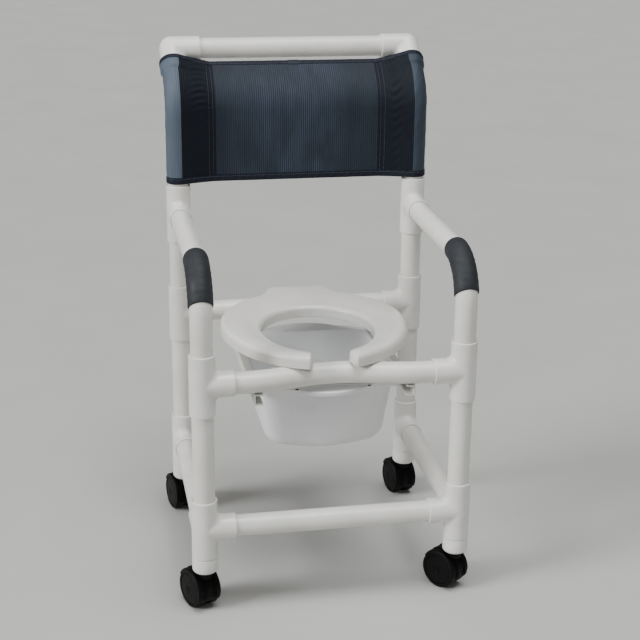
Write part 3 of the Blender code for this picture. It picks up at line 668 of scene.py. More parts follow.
def make_grip(word, front):
    """A vinyl foam sleeve with soft ends round the bend of the arm, its lower end cut on a slant."""
    hub = front + Y * ARM_BEND_R + Z * (ARM_Z - ARM_BEND_R)
    length = ARM_BEND_R * GRIP_TURN

    def around(t, radius):
        """A ring t along the bend, whose outer side lags where the sleeve is slanted."""
        slant = GRIP_SLANT * smooth((t / length - 0.6) / 0.4)
        points = []
        for out, across in ring_points(radius, SIDES):
            a = (t - slant * out) / ARM_BEND_R
            arm = Y * -math.sin(a) + Z * math.cos(a)
            points.append(hub + arm * (ARM_BEND_R + out) + X * across)
        return points

    soft, rows, swell = 0.0021, 28, 0.00025
    end = [(soft * (1 - math.cos(q)), GRIP_R - soft * (1 - math.sin(q))) for q in quarter(5)]
    middle = [(soft + (length - 2 * soft) * k / rows, GRIP_R + swell * math.sin(k * 1.7))
              for k in range(1, rows)]
    bore = [(length * (1 - k / rows), GRIP_BORE) for k in range(rows + 1)]
    outline = end + middle + [(length - t, r) for t, r in reversed(end)] + bore
    shape = new_shape()
    skin(shape, [around(t, r) for t, r in outline], loop=True)
    finish(f"arm_grip_{word}_sleeve", shape, f"arm_grip_{word}", GRIP)


# ---------------------------------------------------------------- casters

WHEEL_R, WHEEL_INNER, WHEEL_WIDTH = 0.038, 0.0052, 0.0185
TRAIL = 0.024                    # from the stem back to the axle
DISC_R = 0.0300                  # the wheel's disc, inside its tyre
AXLE_R, AXLE_HALF = 0.0042, 0.0243
HOOD_OUTER, HOOD_INNER = 0.0424, 0.0396
HOOD_HALF = 0.0250               # half the hood's width
HOOD_LIP = 0.0352                # how near the axle the hood's sides come
HOOD_WALL = 0.0012
HOOD_START, HOOD_TURN = 35, 170  # degrees round the axle, from behind
HOOD_STEPS = 40
WEB_HALF, WEB_R = 0.0040, 0.0400
RIB_LOW, RIB_HIGH = 0.0418, 0.0434
STEM_R, STEM_BORE = 0.0055, 0.0062
STEM_LOW, STEM_HIGH = 0.0755, 0.1250
CAP_LOW, CAP_HIGH, PLUG_HIGH = 0.0832, 0.1147, 0.1467
CAP_ROUND, CAP_EDGE = 0.008, 0.0012


def turned_about(pivot, word):
    """The caster's own axes, from the place of its wheels behind the stem."""
    a, b = (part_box(f"wheel_{word}_{letter}") for letter in "ab")
    axle = (Vector(a[0]) + Vector(a[1]) + Vector(b[0]) + Vector(b[1])) / 4
    back = axle - pivot
    back.z = 0
    back.normalize()
    return Vector((back.y, -back.x, 0)), back


def make_caster(word, side, row):
    """A cap and stem under a leg, and the housing with its two wheels, turned as in the frame."""
    pivot = Vector((MID_X + side * POST_X, (FRONT_Y, REAR_Y)[row], 0))
    across, back = turned_about(pivot, word)
    make_cap(word, pivot)
    axle = pivot + back * TRAIL + Z * WHEEL_R
    make_housing(word, pivot, axle, across, back)
    for letter in "ab":
        low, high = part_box(f"wheel_{word}_{letter}")
        out = (Vector(low) + Vector(high)) / 2 - axle
        make_wheel(f"wheel_{word}_{letter}", axle, across * math.copysign(1, out.dot(across)))


def make_cap(word, pivot):
    """The white plug under the leg, with a rounded lower end, and the steel stem inside it."""
    profile = [(STEM_BORE, CAP_LOW + 0.0004)]
    profile += [(FITTING_R - CAP_ROUND + CAP_ROUND * math.sin(q),
                 CAP_LOW + CAP_ROUND * (1 - math.cos(q))) for q in quarter(7)]
    profile += [(FITTING_R, CAP_HIGH - CAP_EDGE)]
    profile += [(FITTING_R - CAP_EDGE * (1 - math.cos(q)), CAP_HIGH - CAP_EDGE * (1 - math.sin(q)))
                for q in quarter(3)[1:]]
    profile += [(PIPE_R, CAP_HIGH), (PIPE_R, PLUG_HIGH - 0.001), (PIPE_R - 0.0008, PLUG_HIGH),
                (STEM_BORE, PLUG_HIGH)]
    shape = new_shape()
    lathe(shape, profile, pivot, Z, X, loop=True)
    finish(f"caster_cap_{word}_plug", shape, f"caster_cap_{word}", FITTING)
    neck, neck_low, neck_high = 0.0049, 0.1012, 0.1032     # the groove for the stem's grip ring
    stem = [(0, STEM_LOW), (STEM_R - 0.0007, STEM_LOW), (STEM_R, STEM_LOW + 0.0007),
            (STEM_R, neck_low - 0.0007), (neck, neck_low), (neck, neck_high),
            (STEM_R, neck_high + 0.0008), (STEM_R, STEM_HIGH - 0.0025), (0.0040, STEM_HIGH),
            (0, STEM_HIGH)]
    shape = new_shape()
    lathe(shape, stem, pivot, Z, X, count=32)
    finish(f"caster_stem_{word}_pin", shape, f"caster_stem_{word}", ZINC)


def make_housing(word, pivot, axle, across, back):
    """Hood over both wheels, web between them and a boss round the stem, as one moulding."""
    shape = new_shape()

    def polar(r, degrees, x):
        q = math.radians(degrees)
        return axle + (back * math.cos(q) + Z * math.sin(q)) * r + across * x

    # hood: a shell whose side lips turn down over the wheels' shoulders and tuck in at its ends
    wide, narrow = HOOD_HALF, HOOD_HALF - HOOD_WALL
    section = rounded([(wide, HOOD_LIP), (wide, HOOD_OUTER), (-wide, HOOD_OUTER),
                       (-wide, HOOD_LIP), (-narrow, HOOD_LIP), (-narrow, HOOD_INNER),
                       (narrow, HOOD_INNER), (narrow, HOOD_LIP)],
                      [0.0005, 0.0045, 0.0045, 0.0005, 0.0004, 0.0024, 0.0024, 0.0004], 5)
    rings = []
    for i in range(HOOD_STEPS + 1):
        degrees = HOOD_START + HOOD_TURN * i / HOOD_STEPS
        tuck = 0.0030 * (1 - min(min(i, HOOD_STEPS - i) / 10, 1)) ** 1.6
        rings.append([polar(r - tuck * (r - HOOD_LIP) / (HOOD_OUTER - HOOD_LIP), degrees, x)
                      for x, r in section])
    skin(shape, rings, ends=True)
    # the web fills the gap between the wheels, out to the hood
    outline = [polar(WEB_R, HOOD_START + HOOD_TURN * i / 24, 0) for i in range(25)]
    outline += [polar(r, degrees, 0) for r, degrees in
                ((0.022, 215), (0.012, 250), (0.010, 290), (0.012, 340), (0.022, 15))]
    skin(shape, [[p + across * x for p in outline] for x in (-WEB_HALF, WEB_HALF)], ends=True)
    # boss and its collar
    boss = [(STEM_BORE, 0.0690), (0.0125, 0.0690), (0.0125, 0.0775), (0.0152, 0.0782),
            (0.0152, 0.0806), (0.0142, 0.0816), (STEM_BORE, 0.0818)]
    lathe(shape, boss, pivot, Z, X, loop=True, count=40)
    stub = [(0, 0.003), (AXLE_R, 0.003), (AXLE_R, AXLE_HALF - 0.0007),
            (AXLE_R - 0.0006, AXLE_HALF), (0, AXLE_HALF)]
    for sign in (-1, 1):
        lathe(shape, stub, axle, across * sign, Z, count=28)
    # ribs that stiffen the crown of the hood beside the boss
    rib = ((RIB_LOW, -0.0007), (RIB_HIGH, -0.0004), (RIB_HIGH, 0.0004), (RIB_LOW, 0.0007))
    for x in (-0.0135, -0.0085, 0.0085, 0.0135):
        skin(shape, [[polar(r, degrees, x + w) for r, w in rib] for degrees in range(62, 196, 6)],
             ends=True)
    finish(f"caster_housing_{word}_hood", shape, f"caster_housing_{word}", NYLON,
           f"caster_{word}", sharp=40)


def make_wheel(node, axle, out):
    """A black wheel: smooth crowned tyre round a disc with a flat hub."""
    low, high = WHEEL_INNER, WHEEL_INNER + WHEEL_WIDTH
    r = WHEEL_R
    shape = new_shape()
    tyre = [(DISC_R + 0.0005, low), (r - 0.0022, low), (r - 0.0008, low + 0.0008),
            (r, low + 0.0026), (r, high - 0.0034), (r - 0.0009, high - 0.0011),
            (r - 0.0026, high), (DISC_R + 0.0005, high), (DISC_R, high - 0.0009),
            (DISC_R, low + 0.0009)]
    lathe(shape, tyre, axle, out, Z, loop=True, count=64, material=0)
    rim, hub, bore = DISC_R - 0.0003, 0.0100, 0.0050
    face = [(bore, low), (rim, low), (rim, high - 0.0010), (rim - 0.0006, high - 0.0004),
            (0.0260, high - 0.0001), (0.0200, high + 0.0003), (hub, high + 0.0005),
            (hub - 0.0004, high + 0.0001), (bore + 0.0010, high + 0.0001), (bore, high - 0.0004)]
    lathe(shape, face, axle, out, Z, loop=True, count=64, material=1)
    finish(f"{node}_tyre_and_disc", shape, node, [TREAD, NYLON], node, sharp=30)


# ---------------------------------------------------------------- seat

SEAT_LOW, SEAT_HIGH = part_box("seat")[0][2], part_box("seat")[1][2]
SEAT_EYE_Y = 0.175        # behind the front posts; the rays across the rim start here
SEAT_EYE = Vector((mid("seat", 0), FRONT_Y + SEAT_EYE_Y, 0))
SEAT_HALF, SEAT_MIDDLE, SEAT_AHEAD, SEAT_BEHIND = 0.186, 0.205, 0.223, 0.190
HOLE_HALF, HOLE_MIDDLE, HOLE_AHEAD, HOLE_BEHIND = 0.111, 0.160, 0.140, 0.127
TIP_ANGLE = math.radians(-77.6)
TIP_ROUND = 0.0075        # how the rim rounds off at the mouth
ROUND_IN, ROUND_OUT = 0.0085, 0.0100
HOLLOW = 0.0165


def soften(points, passes):
    """Average each point of an open line with its neighbours."""
    points = np.array(points, float)
    for _ in range(passes):
        points[1:-1] = (points[:-2] + 2 * points[1:-1] + points[2:]) / 4
    return points


def dense(points, step=0.002):
    points = np.array(points, float)
    lengths = np.concatenate([[0], np.cumsum(np.linalg.norm(np.diff(points, axis=0), axis=1))])
    places = np.linspace(0, lengths[-1], int(lengths[-1] / step))
    return np.stack([np.interp(places, lengths, points[:, k]) for k in (0, 1)], axis=1)


def egg(half, middle, ahead, behind, start, turn):
    """Right side of an egg-shaped edge as (x, back) points; ahead and behind are its reaches."""
    points = []
    for i in range(81):
        a = math.radians(start + turn * i / 80)
        reach = ahead if a < 0 else behind
        points.append((half * math.cos(a), middle + reach * math.sin(a)))
    return points


def seat_edges():
    """Angle and radius round SEAT_EYE of the seat's outer and inner edges."""
    outer = egg(SEAT_HALF, SEAT_MIDDLE, SEAT_AHEAD, SEAT_BEHIND, -76, 140)
    outer += [(0.068, 0.399), (0.0605, 0.423), (0.054, 0.4298)]        # the tab at the rear
    inner = [(0.0345, 0.0235)] + egg(HOLE_HALF, HOLE_MIDDLE, HOLE_AHEAD, HOLE_BEHIND, -62, 146)
    edges = []
    for right in (outer, inner):
        line = soften(dense(right + [(-x, y) for x, y in reversed(right)]), 24)
        away = line - np.array([0.0, SEAT_EYE_Y])
        angle = np.unwrap(np.arctan2(away[:, 1], away[:, 0]))
        edges.append((angle, np.linalg.norm(away, axis=1)))
    return edges


def seat_section(inside, outside, along):
    """The rim's section as (radius, height) points, along metres from the nearer tip."""
    # near the mouth the rim rounds off: its height and edges draw in
    draw = TIP_ROUND - math.sqrt(max(TIP_ROUND ** 2 - max(TIP_ROUND - along, 0) ** 2, 0))
    inside, outside = inside + draw * 0.8, outside - draw * 0.8
    top, low = SEAT_HIGH - SEAT_LOW - draw * 0.9, draw * 0.35
    section = [(outside - ROUND_OUT * (1 - math.cos(q)), top - 0.0015 - ROUND_OUT * (1 - math.sin(q)))
               for q in quarter(6)]
    width = outside - inside - ROUND_IN - ROUND_OUT
    for k in range(1, 12):                   # crowned top that falls towards the hole
        f = k / 12
        crown = 0.0015 * math.sin(math.pi * min(f * 1.15, 1.0)) - 0.0018 * f ** 2
        section.append((outside - ROUND_OUT - width * f, top - 0.0015 + crown))
    section += [(inside + ROUND_IN * (1 - math.cos(q)), top - 0.0033 - ROUND_IN * (1 - math.sin(q)))
                for q in reversed(quarter(6))]
    roof = low + HOLLOW * max(0.0, min(1.0, (along - TIP_ROUND) / 0.004)) + 0.0002
    section += [(inside, low + 0.0015), (inside + 0.0015, low), (inside + 0.0038, low),
                (inside + 0.0052, roof), (inside + 0.0080, roof + 0.001),
                (outside - 0.0080, roof + 0.001), (outside - 0.0052, roof), (outside - 0.0038, low),
                (outside - 0.0015, low), (outside, low + 0.0015)]
    return section


def make_seat():
    """Open front seat: crowned top, round shoulders, and a hollow underside with ribs."""
    (outer_a, outer_r), (inner_a, inner_r) = seat_edges()
    stations = np.linspace(TIP_ANGLE, math.pi - TIP_ANGLE, 221)

    def edge(angle):
        return float(np.interp(angle, inner_a, inner_r)), float(np.interp(angle, outer_a, outer_r))

    def place(angle, r, z):
        return SEAT_EYE + Vector((r * math.cos(angle), r * math.sin(angle), SEAT_LOW + z))

    rings = []
    for angle in stations:
        inside, outside = edge(angle)
        along = min(angle - TIP_ANGLE, math.pi - TIP_ANGLE - angle) * (inside + outside) / 2
        rings.append([place(angle, r, z) for r, z in seat_section(inside, outside, along)])
    shape = new_shape()
    skin(shape, rings, ends=True)
    finish("seat_ring_moulding", shape, "seat", SEAT, "seat_assembly", sharp=40)
    make_seat_ribs(edge, stations, place)


def tree_with_inputs(name, inputs):
    """A geometry node tree with a mesh input and named number inputs."""
    tree = bpy.data.node_groups.new(name, "GeometryNodeTree")
    face = tree.interface
    face.new_socket("Geometry", in_out="INPUT", socket_type="NodeSocketGeometry")
    for label, value in inputs.items():
        socket = face.new_socket(label, in_out="INPUT", socket_type="NodeSocketFloat")
        socket.default_value = value
    face.new_socket("Geometry", in_out="OUTPUT", socket_type="NodeSocketGeometry")
    return tree, tree.nodes.new("NodeGroupInput"), tree.nodes.new("NodeGroupOutput")


def grown(name, tree, base, values, nodes, body, sharp=40):
    """Run a node tree on a base mesh and keep its result as a plain mesh."""
    carrier = bpy.data.objects.new(name + "_base", base)
    bpy.context.scene.collection.objects.link(carrier)
    modifier = carrier.modifiers.new("grow", "NODES")
    modifier.node_group = tree
    for item in tree.interface.items_tree:
        if item.item_type == "SOCKET" and item.name in values:
            modifier[item.identifier] = values[item.name]
    bpy.context.view_layer.update()
    seen = carrier.evaluated_get(bpy.context.evaluated_depsgraph_get())
    mesh = bpy.data.meshes.new_from_object(seen)
    mesh.name = name
    carrier.modifiers.remove(modifier)
    bpy.data.objects.remove(carrier)
    return register(name, mesh, nodes, body, sharp)


def points_mesh(name, places):
    """A mesh of loose points, each with a normal and a heading to place a shape by."""
    mesh = bpy.data.meshes.new(name)
    mesh.from_pydata([p for p, _, _ in places], [], [])
    for label, index in (("up", 1), ("way", 2)):
        layer = mesh.attributes.new(label, "FLOAT_VECTOR", "POINT")
        layer.data.foreach_set("vector", [c for place in places for c in place[index]])
    return mesh


def stud_tree(name, shape_kind, material, sizes):
    """Instances of a small block or bead on points, turned by the points' up and way."""
    tree, given, out = tree_with_inputs(name, sizes)
    scale = add(tree, "ShaderNodeCombineXYZ", {
        i: given.outputs[label] for i, label in enumerate(list(sizes)[:3])})
    if shape_kind == "block":
        solid = add(tree, "GeometryNodeMeshCube", {0: scale.outputs[0]})
        last = solid.outputs[0]
    else:
        solid = add(tree, "GeometryNodeMeshUVSphere", in0=8, in1=6, in2=0.5)
        last = add(tree, "GeometryNodeTransform", {0: solid.outputs[0],
                                                   "Scale": scale.outputs[0]}).outputs[0]
    up = add(tree, "GeometryNodeInputNamedAttribute", data_type="FLOAT_VECTOR", in0="up")
    way = add(tree, "GeometryNodeInputNamedAttribute", data_type="FLOAT_VECTOR", in0="way")
    face = add(tree, "FunctionNodeAlignRotationToVector", {"Vector": up.outputs[0]}, axis="Z")
    turn = add(tree, "FunctionNodeAlignRotationToVector",
               {"Rotation": face.outputs[0], "Vector": way.outputs[0]}, axis="X", pivot_axis="Z")
    placed = add(tree, "GeometryNodeInstanceOnPoints", {
        "Points": given.outputs[0], "Instance": last, "Rotation": turn.outputs[0]})
    real = add(tree, "GeometryNodeRealizeInstances", {0: placed.outputs[0]})
    dressed = add(tree, "GeometryNodeSetMaterial", {0: real.outputs[0]})
    dressed.inputs["Material"].default_value = material
    tree.links.new(dressed.outputs[0], out.inputs[0])
    return tree


def make_seat_ribs(edge, stations, place):
    """Ribs across the hollow underside, from lip to lip."""
    places = []
    for angle in np.linspace(stations[0] + 0.16, stations[-1] - 0.16, 26):
        inside, outside = edge(angle)
        middle = place(angle, (inside + outside) / 2, 0.0100)
        radial = (math.cos(angle), math.sin(angle), 0)
        places.append((middle, (0, 0, 1), radial))
    narrow = min(o - i for i, o in (edge(a) for a in stations))
    sizes = {"Length": narrow - 0.006, "Thickness": 0.0020, "Height": 0.0150}
    tree = stud_tree("seat_rib_tree", "block", SEAT, sizes)
    grown("seat_underside_ribs", tree, points_mesh("seat_rib_points", places), sizes, None,
          "seat_assembly")


def make_seat_clips():
    """Hooks round the rear crossbar, each with a flat foot under the seat."""
    inner, outer = PIPE_R + 0.0004, PIPE_R + 0.0034
    under = SEAT_LOW - SEAT_Z - GAP
    foot, toe, edge = under - 0.003, -0.030 - outer, 0.0008
    meet_outer = math.degrees(math.acos(foot / outer))
    meet_inner = math.degrees(math.acos(min(under / inner, 1.0)))
    outline = []
    for r, a, b in ((outer, 90 + meet_outer, 378), (inner, 378, 90 + meet_inner)):
        for i in range(29):
            q = math.radians(a + (b - a) * i / 28)
            outline.append((r * math.cos(q), r * math.sin(q)))
    outline += [(toe + edge, under), (toe, under - edge), (toe, foot + edge), (toe + edge, foot)]
    for _, word in SIDE_WORDS:
        node = f"seat_clip_{word}"
        low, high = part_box(node)
        shape = new_shape()
        skin(shape, [[Vector((x, REAR_Y + y, SEAT_Z + z)) for y, z in outline]
                     for x in (low[0], high[0])], ends=True)
        made = finish(f"{node}_hook", shape, node, SEAT, "seat_assembly")
        soft = made.modifiers.new("edges", "BEVEL")
        soft.width, soft.segments, soft.limit_method = 0.0004, 2, "ANGLE"


# ---------------------------------------------------------------- pail

PAIL_HIGH, PAIL_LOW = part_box("pail")[1][2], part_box("pail")[0][2]
PAIL_WALL, PAIL_FOOT = 0.0024, 0.024         # the foot is the radius where wall and base meet
RIM_HALF, RIM_FRONT, RIM_REAR, RIM_CORNER = 0.150, 0.036, 0.372, 0.028
RIM_DROP, RIM_ROUND = 0.0095, 0.0024
LIP_HALF, LIP_FRONT, LIP_REAR = 0.084, 0.033, 0.032      # the crescent pull lips
WALL_HALF, BASE_HALF = 0.1345, 0.116
WALL_AWAY, BASE_AWAY = 0.016, 0.030          # from the ends of the rim in to the end walls
WALL_CORNER, WALL_BOW = 0.040, 0.0133


def pail_row(half, front, rear, corner, bulge_front, bulge_rear, lip_half, z, crisp):
    """A rounded rectangle whose front and rear edges bulge, anticlockwise from above."""
    points = []
    corners = ((half - corner, rear - corner, 0), (-half + corner, rear - corner, 90),
               (-half + corner, front + corner, 180), (half - corner, front + corner, 270))
    for number, (x, y, first) in enumerate(corners):
        for k in range(9):
            q = math.radians(first + 90 * k / 8)
            points.append([x + corner * math.cos(q), y + corner * math.sin(q)])
        after = corners[(number + 1) % 4]
        if number in (0, 2):                    # rear edge, then front edge
            edge, reach = ((rear, bulge_rear), (front, -bulge_front))[number // 2]
            for k in range(1, 36):
                across = x + (after[0] - x) * k / 36
                share = min(abs(across) / lip_half, 1)
                swell = (1 - share ** 2) if crisp else (1 + math.cos(math.pi * share)) / 2
                points.append([across, edge + reach * swell])
        else:
            for k in range(1, 10):
                points.append([(half, -half)[number == 1], y + (after[1] - y) * k / 10])
    return [Vector((MID_X + x, FRONT_Y + y, z)) for x, y in points]


def make_pail():
    """Rectangular pail with a turned down rim and a crescent pull lip at each end."""
    top, bottom, wall, foot = PAIL_HIGH, PAIL_LOW, PAIL_WALL, PAIL_FOOT

    def wall_row(z, thick, squeeze=0.0):
        share = (top - z) / (top - bottom)
        half = WALL_HALF + (BASE_HALF - WALL_HALF) * share - thick - squeeze
        away = WALL_AWAY + (BASE_AWAY - WALL_AWAY) * share + thick + squeeze * 0.62
        corner = WALL_CORNER - thick * 0.6 + 0.006 * share
        # the end walls are straight at the rim, which widens the pull lips, and bow out below
        bow = WALL_BOW * min(max(share * 2.5, 0.0), 1.0)
        return pail_row(half, RIM_FRONT + away, RIM_REAR - away, corner - squeeze * 0.3,
                        bow, bow, half - 0.02, z, False)

    def rim_row(drawn, z, lip=1.0):
        return pail_row(RIM_HALF - drawn, RIM_FRONT + drawn, RIM_REAR - drawn, RIM_CORNER,
                        LIP_FRONT * lip, LIP_REAR * lip, LIP_HALF, z, True)

    def foot_rows(thick):
        return [wall_row(bottom + thick + foot * (1 - math.sin(q)), thick, foot * (1 - math.cos(q)))
                for q in quarter(8)]

    outside = foot_rows(0.0)                       # from the wall's foot down to the base
    rows = [wall_row(bottom + 0.0014, 0, foot + 0.016)]      # base, drawn up inside its ring
    rows += [wall_row(bottom + 0.0012, 0, foot + 0.010), wall_row(bottom, 0, foot + 0.004)]
    rows += outside[::-1]
    rows += [wall_row(bottom + foot + (top - wall - bottom - foot) * f, 0)
             for f in (0.2, 0.45, 0.7, 0.9, 0.97, 1.0)]
    edge = top - RIM_DROP
    rows += [rim_row(wall + 0.001, top - wall), rim_row(wall, top - wall - 0.0008),
             rim_row(wall, edge + 0.0006), rim_row(wall - 0.0005, edge), rim_row(0.0005, edge),
             rim_row(0.0, edge + 0.0006), rim_row(0.0, top - RIM_ROUND)]
    rows += [rim_row(RIM_ROUND * (1 - math.cos(q)), top - RIM_ROUND * (1 - math.sin(q)))
             for q in quarter(5)[1:]]
    # a bead runs round the rim just inside its edge
    rows += [rim_row(0.0045, top - 0.0002), rim_row(0.0062, top - 0.0011),
             rim_row(0.0085, top - 0.0014, 0.97)]
    rows += [wall_row(top - 0.0014, wall - 0.003), wall_row(top - 0.0022, wall - 0.0008),
             wall_row(top - 0.0045, wall)]
    rows += [wall_row(bottom + wall + foot + (top - wall - bottom - foot) * f, wall)
             for f in (0.9, 0.7, 0.45, 0.2, 0.0)]
    rows += foot_rows(wall)[1:]
    rows += [wall_row(bottom + wall + 0.0004, wall, foot + 0.012)]
    shape = new_shape()
    skin(shape, rows, ends=True)
    finish("pail_moulding", shape, "pail", PAIL, "pail_body", sharp=50)


RUNNER_WALL = 0.0024
STRAP_HALF, STRAP_WIDTH = 0.080, 0.012
SCREW_EXTRA = 0.0024      # the screw heads stand taller than in CAD, so that they show below the bar


def make_runners():
    """Channels under the crossbars that the pail's rim slides in."""
    for side, word in SIDE_WORDS:
        node = f"pail_runner_{word}"
        low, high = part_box(node)
        back, tip = (high[0], low[0]) if side > 0 else (low[0], high[0])
        inner = back - side * RUNNER_WALL
        roof, floor = high[2] - RUNNER_WALL, low[2] + RUNNER_WALL
        outline = [(back, low[2]), (back, high[2]), (tip, high[2]), (tip, roof),
                   (inner, roof), (inner, floor), (tip, floor), (tip, low[2])]
        section = rounded(outline, [0.0012, 0.0012, 0.0005, 0.0005, 0.0006, 0.0006, 0.0005,
                                    0.0005], 3)
        shape = new_shape()
        skin(shape, [[Vector((x, y, z)) for x, z in section]
                     for y in (low[1], low[1] + 0.004, high[1] - 0.004, high[1])], ends=True)
        finish(f"{node}_channel", shape, node, RUNNER)


def make_strap():
    """A thin strap bent to the front crossbar, with a recessed screw near each end."""
    low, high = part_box("pail_strap")
    top, thick, end = high[2], high[2] - low[2], STRAP_WIDTH / 2
    edge = thick * 0.25
    rings = []
    for i in range(65):
        x = STRAP_HALF * (i / 32 - 1)
        left = STRAP_HALF - abs(x)
        half = max(math.sqrt(max(0.0, end ** 2 - max(end - left, 0) ** 2)), 0.0006)
        slope = (bow_at(x + 1e-4) - bow_at(x - 1e-4)) / 2e-4
        cross = Vector((-slope, 1, 0)).normalized()
        centre = Vector((MID_X + x, FRONT_Y + bow_at(x), 0))
        section = [(-half, top - edge), (-half + edge, top), (half - edge, top),
                   (half, top - edge), (half, top - thick + edge), (half - edge, top - thick),
                   (-half + edge, top - thick), (-half, top - thick + edge)]
        if half < edge * 2:
            section = [(w * 0.5, z) for w, z in section]
        rings.append([centre + cross * w + Z * z for w, z in section])
    shape = new_shape()
    skin(shape, rings, ends=True)
    finish("pail_strap_strip", shape, "pail_strap", RUNNER)
    for _, word in SIDE_WORDS:
        node = f"strap_screw_{word}"
        low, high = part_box(node)
        centre = Vector(((low[0] + high[0]) / 2, (low[1] + high[1]) / 2, high[2]))
        tall, r = high[2] - low[2] + SCREW_EXTRA, (high[0] - low[0]) / 2
        profile = [(0, 0), (r * 0.9, 0), (r, tall * 0.15), (r * 0.97, tall * 0.45),
                   (r * 0.75, tall * 0.86), (r * 0.42, tall), (r * 0.40, tall * 0.6), (0, tall * 0.55)]
        shape = new_shape()
        lathe(shape, profile, centre, -Z, X, count=32)
        finish(f"{node}_head", shape, node, NYLON)


# ---------------------------------------------------------------- mesh back

BACK_LOW = 0.751
BACK_TOP = 0.038          # short of the elbow's centre, along the post
SEAM = 0.074              # post centre to the seam that closes the sleeve
CLOTH = 0.0011
HEM_TOP, HEM_LOW = 0.009, 0.013
HEM_OUT = CLOTH / 2 + 0.0007               # the binding's face, from the middle of the cloth
SLEEVE_R, SLEEVE_WIDE_R = 0.0222, 0.0262   # inside the sleeve, on the pipe and over the socket
SLEEVE_OPENS, SLEEVE_WIDENS = 0.034, 0.010   # where it starts to widen, below the top, and for how far
SLEEVE_ROUND, SLEEVE_FLAT = 30, 16         # steps round the post and along each flat part
SLEEVE_COUNT = SLEEVE_ROUND + 2 * SLEEVE_FLAT + 1
SLEEVE_FREE = 0.022                        # past this the sleeve is clear of the pipe
SHEET_ROWS, PANEL_STEPS = 96, 60
STITCH = 0.0042


def back_path():
    """(point on the post's axis, way up, way forward) from the sheet's lower edge upwards."""
    rise = POST_BEND_Z - BACK_LOW
    curve = POST_BEND_R * POST_BEND
    tail = POST_TAIL - BACK_TOP
    total = rise + curve + tail

    def at(s):
        if s < rise:
            return Vector((0, REAR_Y, BACK_LOW + s)), Z, -Y
        q = min((s - rise) / POST_BEND_R, POST_BEND)
        way = Vector((0, math.sin(q), math.cos(q)))
        front = Vector((0, -math.cos(q), math.sin(q)))
        point = Vector((0, REAR_Y + POST_BEND_R * (1 - math.cos(q)),
                        POST_BEND_Z + POST_BEND_R * math.sin(q)))
        return point + way * max(s - rise - curve, 0), way, front
    return at, total


def sleeve_line(radius):
    """One sleeve's cross-section, as (inward, forward) points from the post's centre.

    It starts at the seam behind, goes round the post and returns in front to the seam.
    """
    flat = 0.0006
    tangent = math.acos(min((radius - flat) / SEAM, 0.99))
    touch = Vector((math.cos(tangent), -math.sin(tangent))) * radius
    points = []
    for i in range(SLEEVE_FLAT):
        f = i / SLEEVE_FLAT
        pull = math.sin(math.pi * f) * 0.0010
        points.append((SEAM + (touch.x - SEAM) * f, -flat + (touch.y + flat) * f + pull))
    for i in range(SLEEVE_ROUND + 1):
        q = -tangent - (2 * math.pi - 2 * tangent) * i / SLEEVE_ROUND
        points.append((radius * math.cos(q), radius * math.sin(q)))
    for i in range(1, SLEEVE_FLAT + 1):
        f = i / SLEEVE_FLAT
        pull = math.sin(math.pi * f) * 0.0010
        points.append((touch.x + (SEAM - touch.x) * f, -touch.y + (flat + touch.y) * f - pull))
    return points


def ripple(side, away, s, total):
    """How far the cloth stands out of true at a place on the sleeve's flat part."""
    if not SLEEVE_FREE < away < SEAM:
        return 0.0
    up = s / total
    fade = math.sin(math.pi * (away - SLEEVE_FREE) / (SEAM - SLEEVE_FREE))
    if side < 0:                    # short level pleats, strongest high on the left
        return 0.0011 * fade * max(0, min(1, (up - 0.35) * 3)) \
            * math.sin(s * 520 + 2.2 * math.sin(away * 90) + 0.7)
    slant = abs(away - 0.048) * 260      # slanting ripples that meet, on the right
    return 0.0012 * fade * (0.35 + 0.65 * up) * math.sin(s * 330 - slant + 1.3 * math.sin(s * 41))


def sleeve_row(side, s, total):
    """One sleeve's cross-section as (across, forward) points, crumpled where it hugs the post."""
    # the sleeve opens out over the elbow's socket
    over = smooth((s - (total - SLEEVE_OPENS)) / SLEEVE_WIDENS)
    radius = SLEEVE_R + CLOTH / 2 + (SLEEVE_WIDE_R - SLEEVE_R) * over
    points = []
    for k, (away, forward) in enumerate(sleeve_line(radius)):
        if away <= SLEEVE_FREE:
            crumple = 0.00035 * math.sin(s * 210 + k * 0.9 + side) \
                * max(0.0, math.sin(math.pi * s / total)) + 0.0003 * math.sin(s * 73 + k)
            stretch = 1 + max(crumple, -0.0001) / radius
            away, forward = away * stretch, forward * stretch
        else:
            sign = 1 if k > SLEEVE_COUNT / 2 else 0.35
            forward += sign * ripple(side, away, s, total)
        points.append((side * (POST_X - away), forward))
    return points


def panel_row(s, total):
    """The panel's cross-section between the seams, sagging back a little and fluttering."""
    centre_half = POST_X - SEAM
    points = []
    for k in range(1, PANEL_STEPS):
        f = k / PANEL_STEPS
        sag = -0.0035 * math.sin(math.pi * f) ** 0.8 * math.sin(math.pi * s / total) ** 0.7
        flutter = 0.00035 * math.sin(f * 41 + 1.3 * math.sin(s * 19)) \
            * (0.3 + 0.7 * math.sin(math.pi * s / total))
        points.append((-centre_half + 2 * centre_half * f, 0.0006 + sag + flutter))
    return points


def make_back():
    """The mesh sheet, taut between the posts, with a sleeve round each."""
    at, total = back_path()
    rings = []
    for i in range(SHEET_ROWS + 1):
        s = total * i / SHEET_ROWS
        point, _, front = at(s)
        across = sleeve_row(-1, s, total) + panel_row(s, total) + sleeve_row(1, s, total)[::-1]
        rings.append([Vector((MID_X, 0, 0)) + point + X * x + front * f for x, f in across])
    build_sheet(rings)
    make_back_trim(total, rings)


